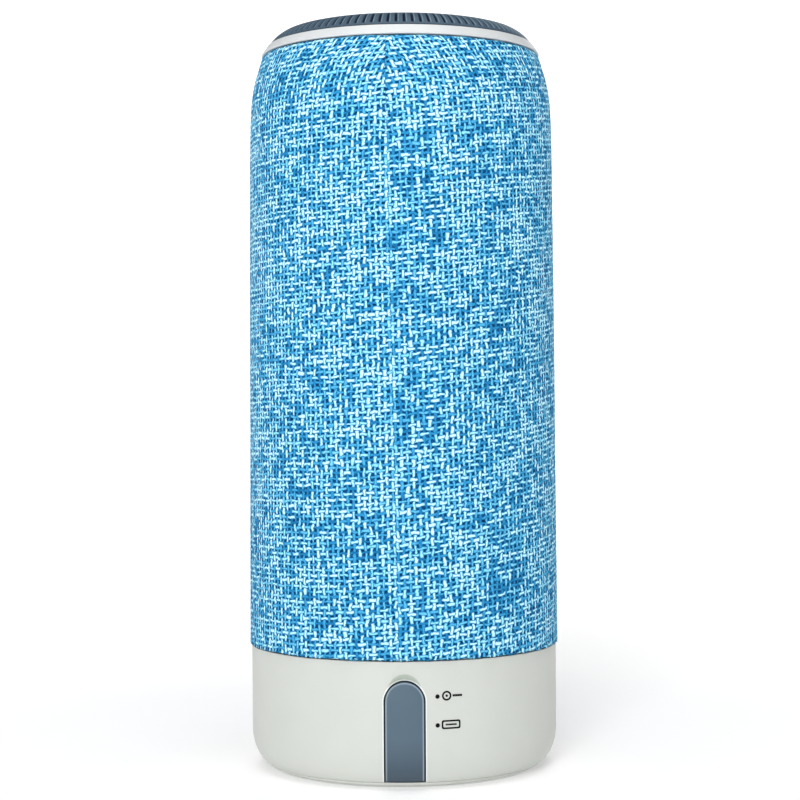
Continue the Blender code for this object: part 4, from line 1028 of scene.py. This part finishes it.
def key_caps():
    """Five soft keys, slightly dished, each with its symbol."""
    flange_top = 179.2
    for name, outlines in KEY_SIGNS.items():
        x, y, radius = key_place(name)
        foot, top = (corner.z for corner in span(name))
        body = name.replace("_button", "_key")
        dish = [(radius * share * 0.82, top - 0.22 + 0.2 * share**2) for share in (0.0, 0.35, 0.6, 0.8, 0.93)]
        profile = [
            *dish, (radius * 0.86, top, 0.3), (radius, top - 0.1, 0.4), (radius, flange_top),
            (radius + KEY_FLANGE, flange_top, 0.1), (radius + KEY_FLANGE, foot, 0.1), (0, foot),
        ]
        cap = lathe(name + "_cap", soften(profile, False), 72, centre=(x, y))
        dress(cap, "slate_rubber", body, name)
        verts, faces = [], []
        for outline in outlines:
            start, count = len(verts), len(outline)
            verts += [(x + a, y + b, z) for z in (top + 0.02, top - 0.25) for a, b in outline]
            faces.append(tuple(range(start, start + count)))
            faces.append(tuple(range(start + 2 * count - 1, start + count - 1, -1)))
            for i in range(count):
                here, after = start + i, start + (i + 1) % count
                faces.append((here, after, after + count, here + count))
        dress(add_mesh(name + "_sign", verts, faces), "pale_plastic", body)


def bar(x, y, half_width, half_height):
    return rounded_box(half_width, half_height, min(half_width, half_height) * 0.6, (x, y), 3)


def triangle(x, size, way):
    back, half = x - way * size * 0.5, size * 0.62
    return soften([(back, -half, 0.15), (x + way * size * 0.6, 0, 0.15), (back, half, 0.15)], steps=3)


def play_sign():
    return [triangle(-1.15, 2.6, 1), bar(1.05, 0, 0.3, 1.5), bar(2.15, 0, 0.3, 1.5)]


def skip_sign(way):
    return [triangle(way * -0.75, 1.5, way), triangle(way * 0.55, 1.5, way), bar(way * 1.65, 0, 0.18, 0.95)]


def level_sign():
    bars = ((-1.3, 0.7), (-0.43, 1.25), (0.43, 0.95), (1.3, 1.5))
    return [bar(x, height - 1.2, 0.24, height) for x, height in bars]


def power_sign():
    """A circle with a gap at its top, and an upright bar in the gap."""
    gap, outer, inner = 34, 1.55, 1.18
    there = [polar(outer, angle) for angle in range(90 + gap, 451 - gap, 6)]
    back = [polar(inner, angle) for angle in range(450 - gap, 89 + gap, -6)]
    return [there + back, bar(0, 1.15, 0.19, 0.75)]


KEY_SIGNS = {
    "play_button": play_sign(),
    "next_button": skip_sign(1),
    "mode_button": level_sign(),
    "previous_button": skip_sign(-1),
    "power_button": power_sign(),
}


def key_place(name):
    """Centre and cap radius of a key, from its CAD node."""
    low, high = span(name)
    return (low.x + high.x) / 2, (low.y + high.y) / 2, (high.x - low.x) / 2 - KEY_FLANGE


# ---- carried-over CAD pieces


def dress_cad_nodes():
    """Every CAD node that still shows gets the finish of its own slot."""
    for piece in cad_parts.values():
        for holder in piece.material_slots:
            slot_name = holder.material.name.split(".")[0]
            if slot_name in LOOKS:
                holder.material = LOOKS[slot_name]


# ---- studio


def studio_camera():
    """Level view of the port side from just below the middle, a little tilted."""
    data = bpy.data.cameras.new("camera")
    data.lens = 86.05
    data.sensor_width = 36.0
    camera = add_object("camera", data)
    level = Matrix.Rotation(math.radians(90 - 0.345), 4, "X")
    tilt = Matrix.Rotation(math.radians(-0.37), 4, "Z")
    camera.matrix_world = Matrix.Translation((-0.0006, -0.480, 0.09345)) @ level @ tilt
    scene.camera = camera


def softbox(name, place, size, power, aim=(0.0, 0.0, 0.09)):
    data = bpy.data.lights.new(name, "AREA")
    data.shape = "RECTANGLE"
    data.size, data.size_y = size
    data.energy = power
    lamp = add_object(name, data)
    lamp.location = place
    lamp.rotation_euler = (Vector(aim) - Vector(place)).to_track_quat("-Z", "Y").to_euler()
    lamp.visible_camera = False


def studio():
    """White sweep all round, a bright even sky and large soft lights."""
    world = bpy.data.worlds.new("studio")
    scene.world = world
    world.use_nodes = True
    sky = world.node_tree.nodes["Background"].inputs
    white = (1.0, 1.0, 1.0, 1.0)
    sky["Color"].default_value = white
    sky["Strength"].default_value = 0.10

    sweep = [(0, 0), (1300.0, 0), (1800.0, 40.0), (2150.0, 250.0), (2300.0, 550.0), (2350.0, 880.0)]
    curved = smooth_line(sweep, 10)
    verts, faces, sides = [(0, 0, 0)], [], 96
    for radius, z in curved[1:]:
        verts += [(*polar(radius, 360 * i / sides), max(z, 0.0)) for i in range(sides)]
    faces += [(0, 1 + i, 1 + (i + 1) % sides) for i in range(sides)]
    for ring in range(len(curved) - 2):
        start = 1 + ring * sides
        for i in range(sides):
            here, after = start + i, start + (i + 1) % sides
            faces.append((here, here + sides, after + sides, after))
    floor = add_mesh("studio_sweep", verts, faces)
    made, tree, place = new_material("studio_white")
    flat_place = vector_maths(tree, "MULTIPLY", place, (1.0, 1.0, 0.0))
    away = vector_maths(tree, "LENGTH", flat_place)
    paint = {
        "Base Color": (0.8, 0.8, 0.8, 1.0),
        "Roughness": 0.9,
        "Emission Color": white,
        "Emission Strength": fade(tree, away, 0.12, 0.6, 0.28, 0.68),
    }
    for key, value in paint.items():
        connect(tree, value, tree.nodes["Principled BSDF"].inputs[key])
    floor.data.materials.append(made)

    softbox("key", (-0.35, -1.6, 0.7), (0.5, 0.5), 16.5)
    softbox("top", (0.0, -0.3, 1.3), (0.9, 0.9), 8.0)
    softbox("back", (0.2, 1.7, 0.6), (0.9, 0.9), 7.0)
    scene.view_settings.view_transform = "Standard"


studio_camera()
base_cover()
bottom_cover()
all_screws()
rubber_flap()
port_sockets()
port_marks()
woven_sleeve()
trim_ring()
volume_crown()
control_top()
key_caps()
dress_cad_nodes()
studio()
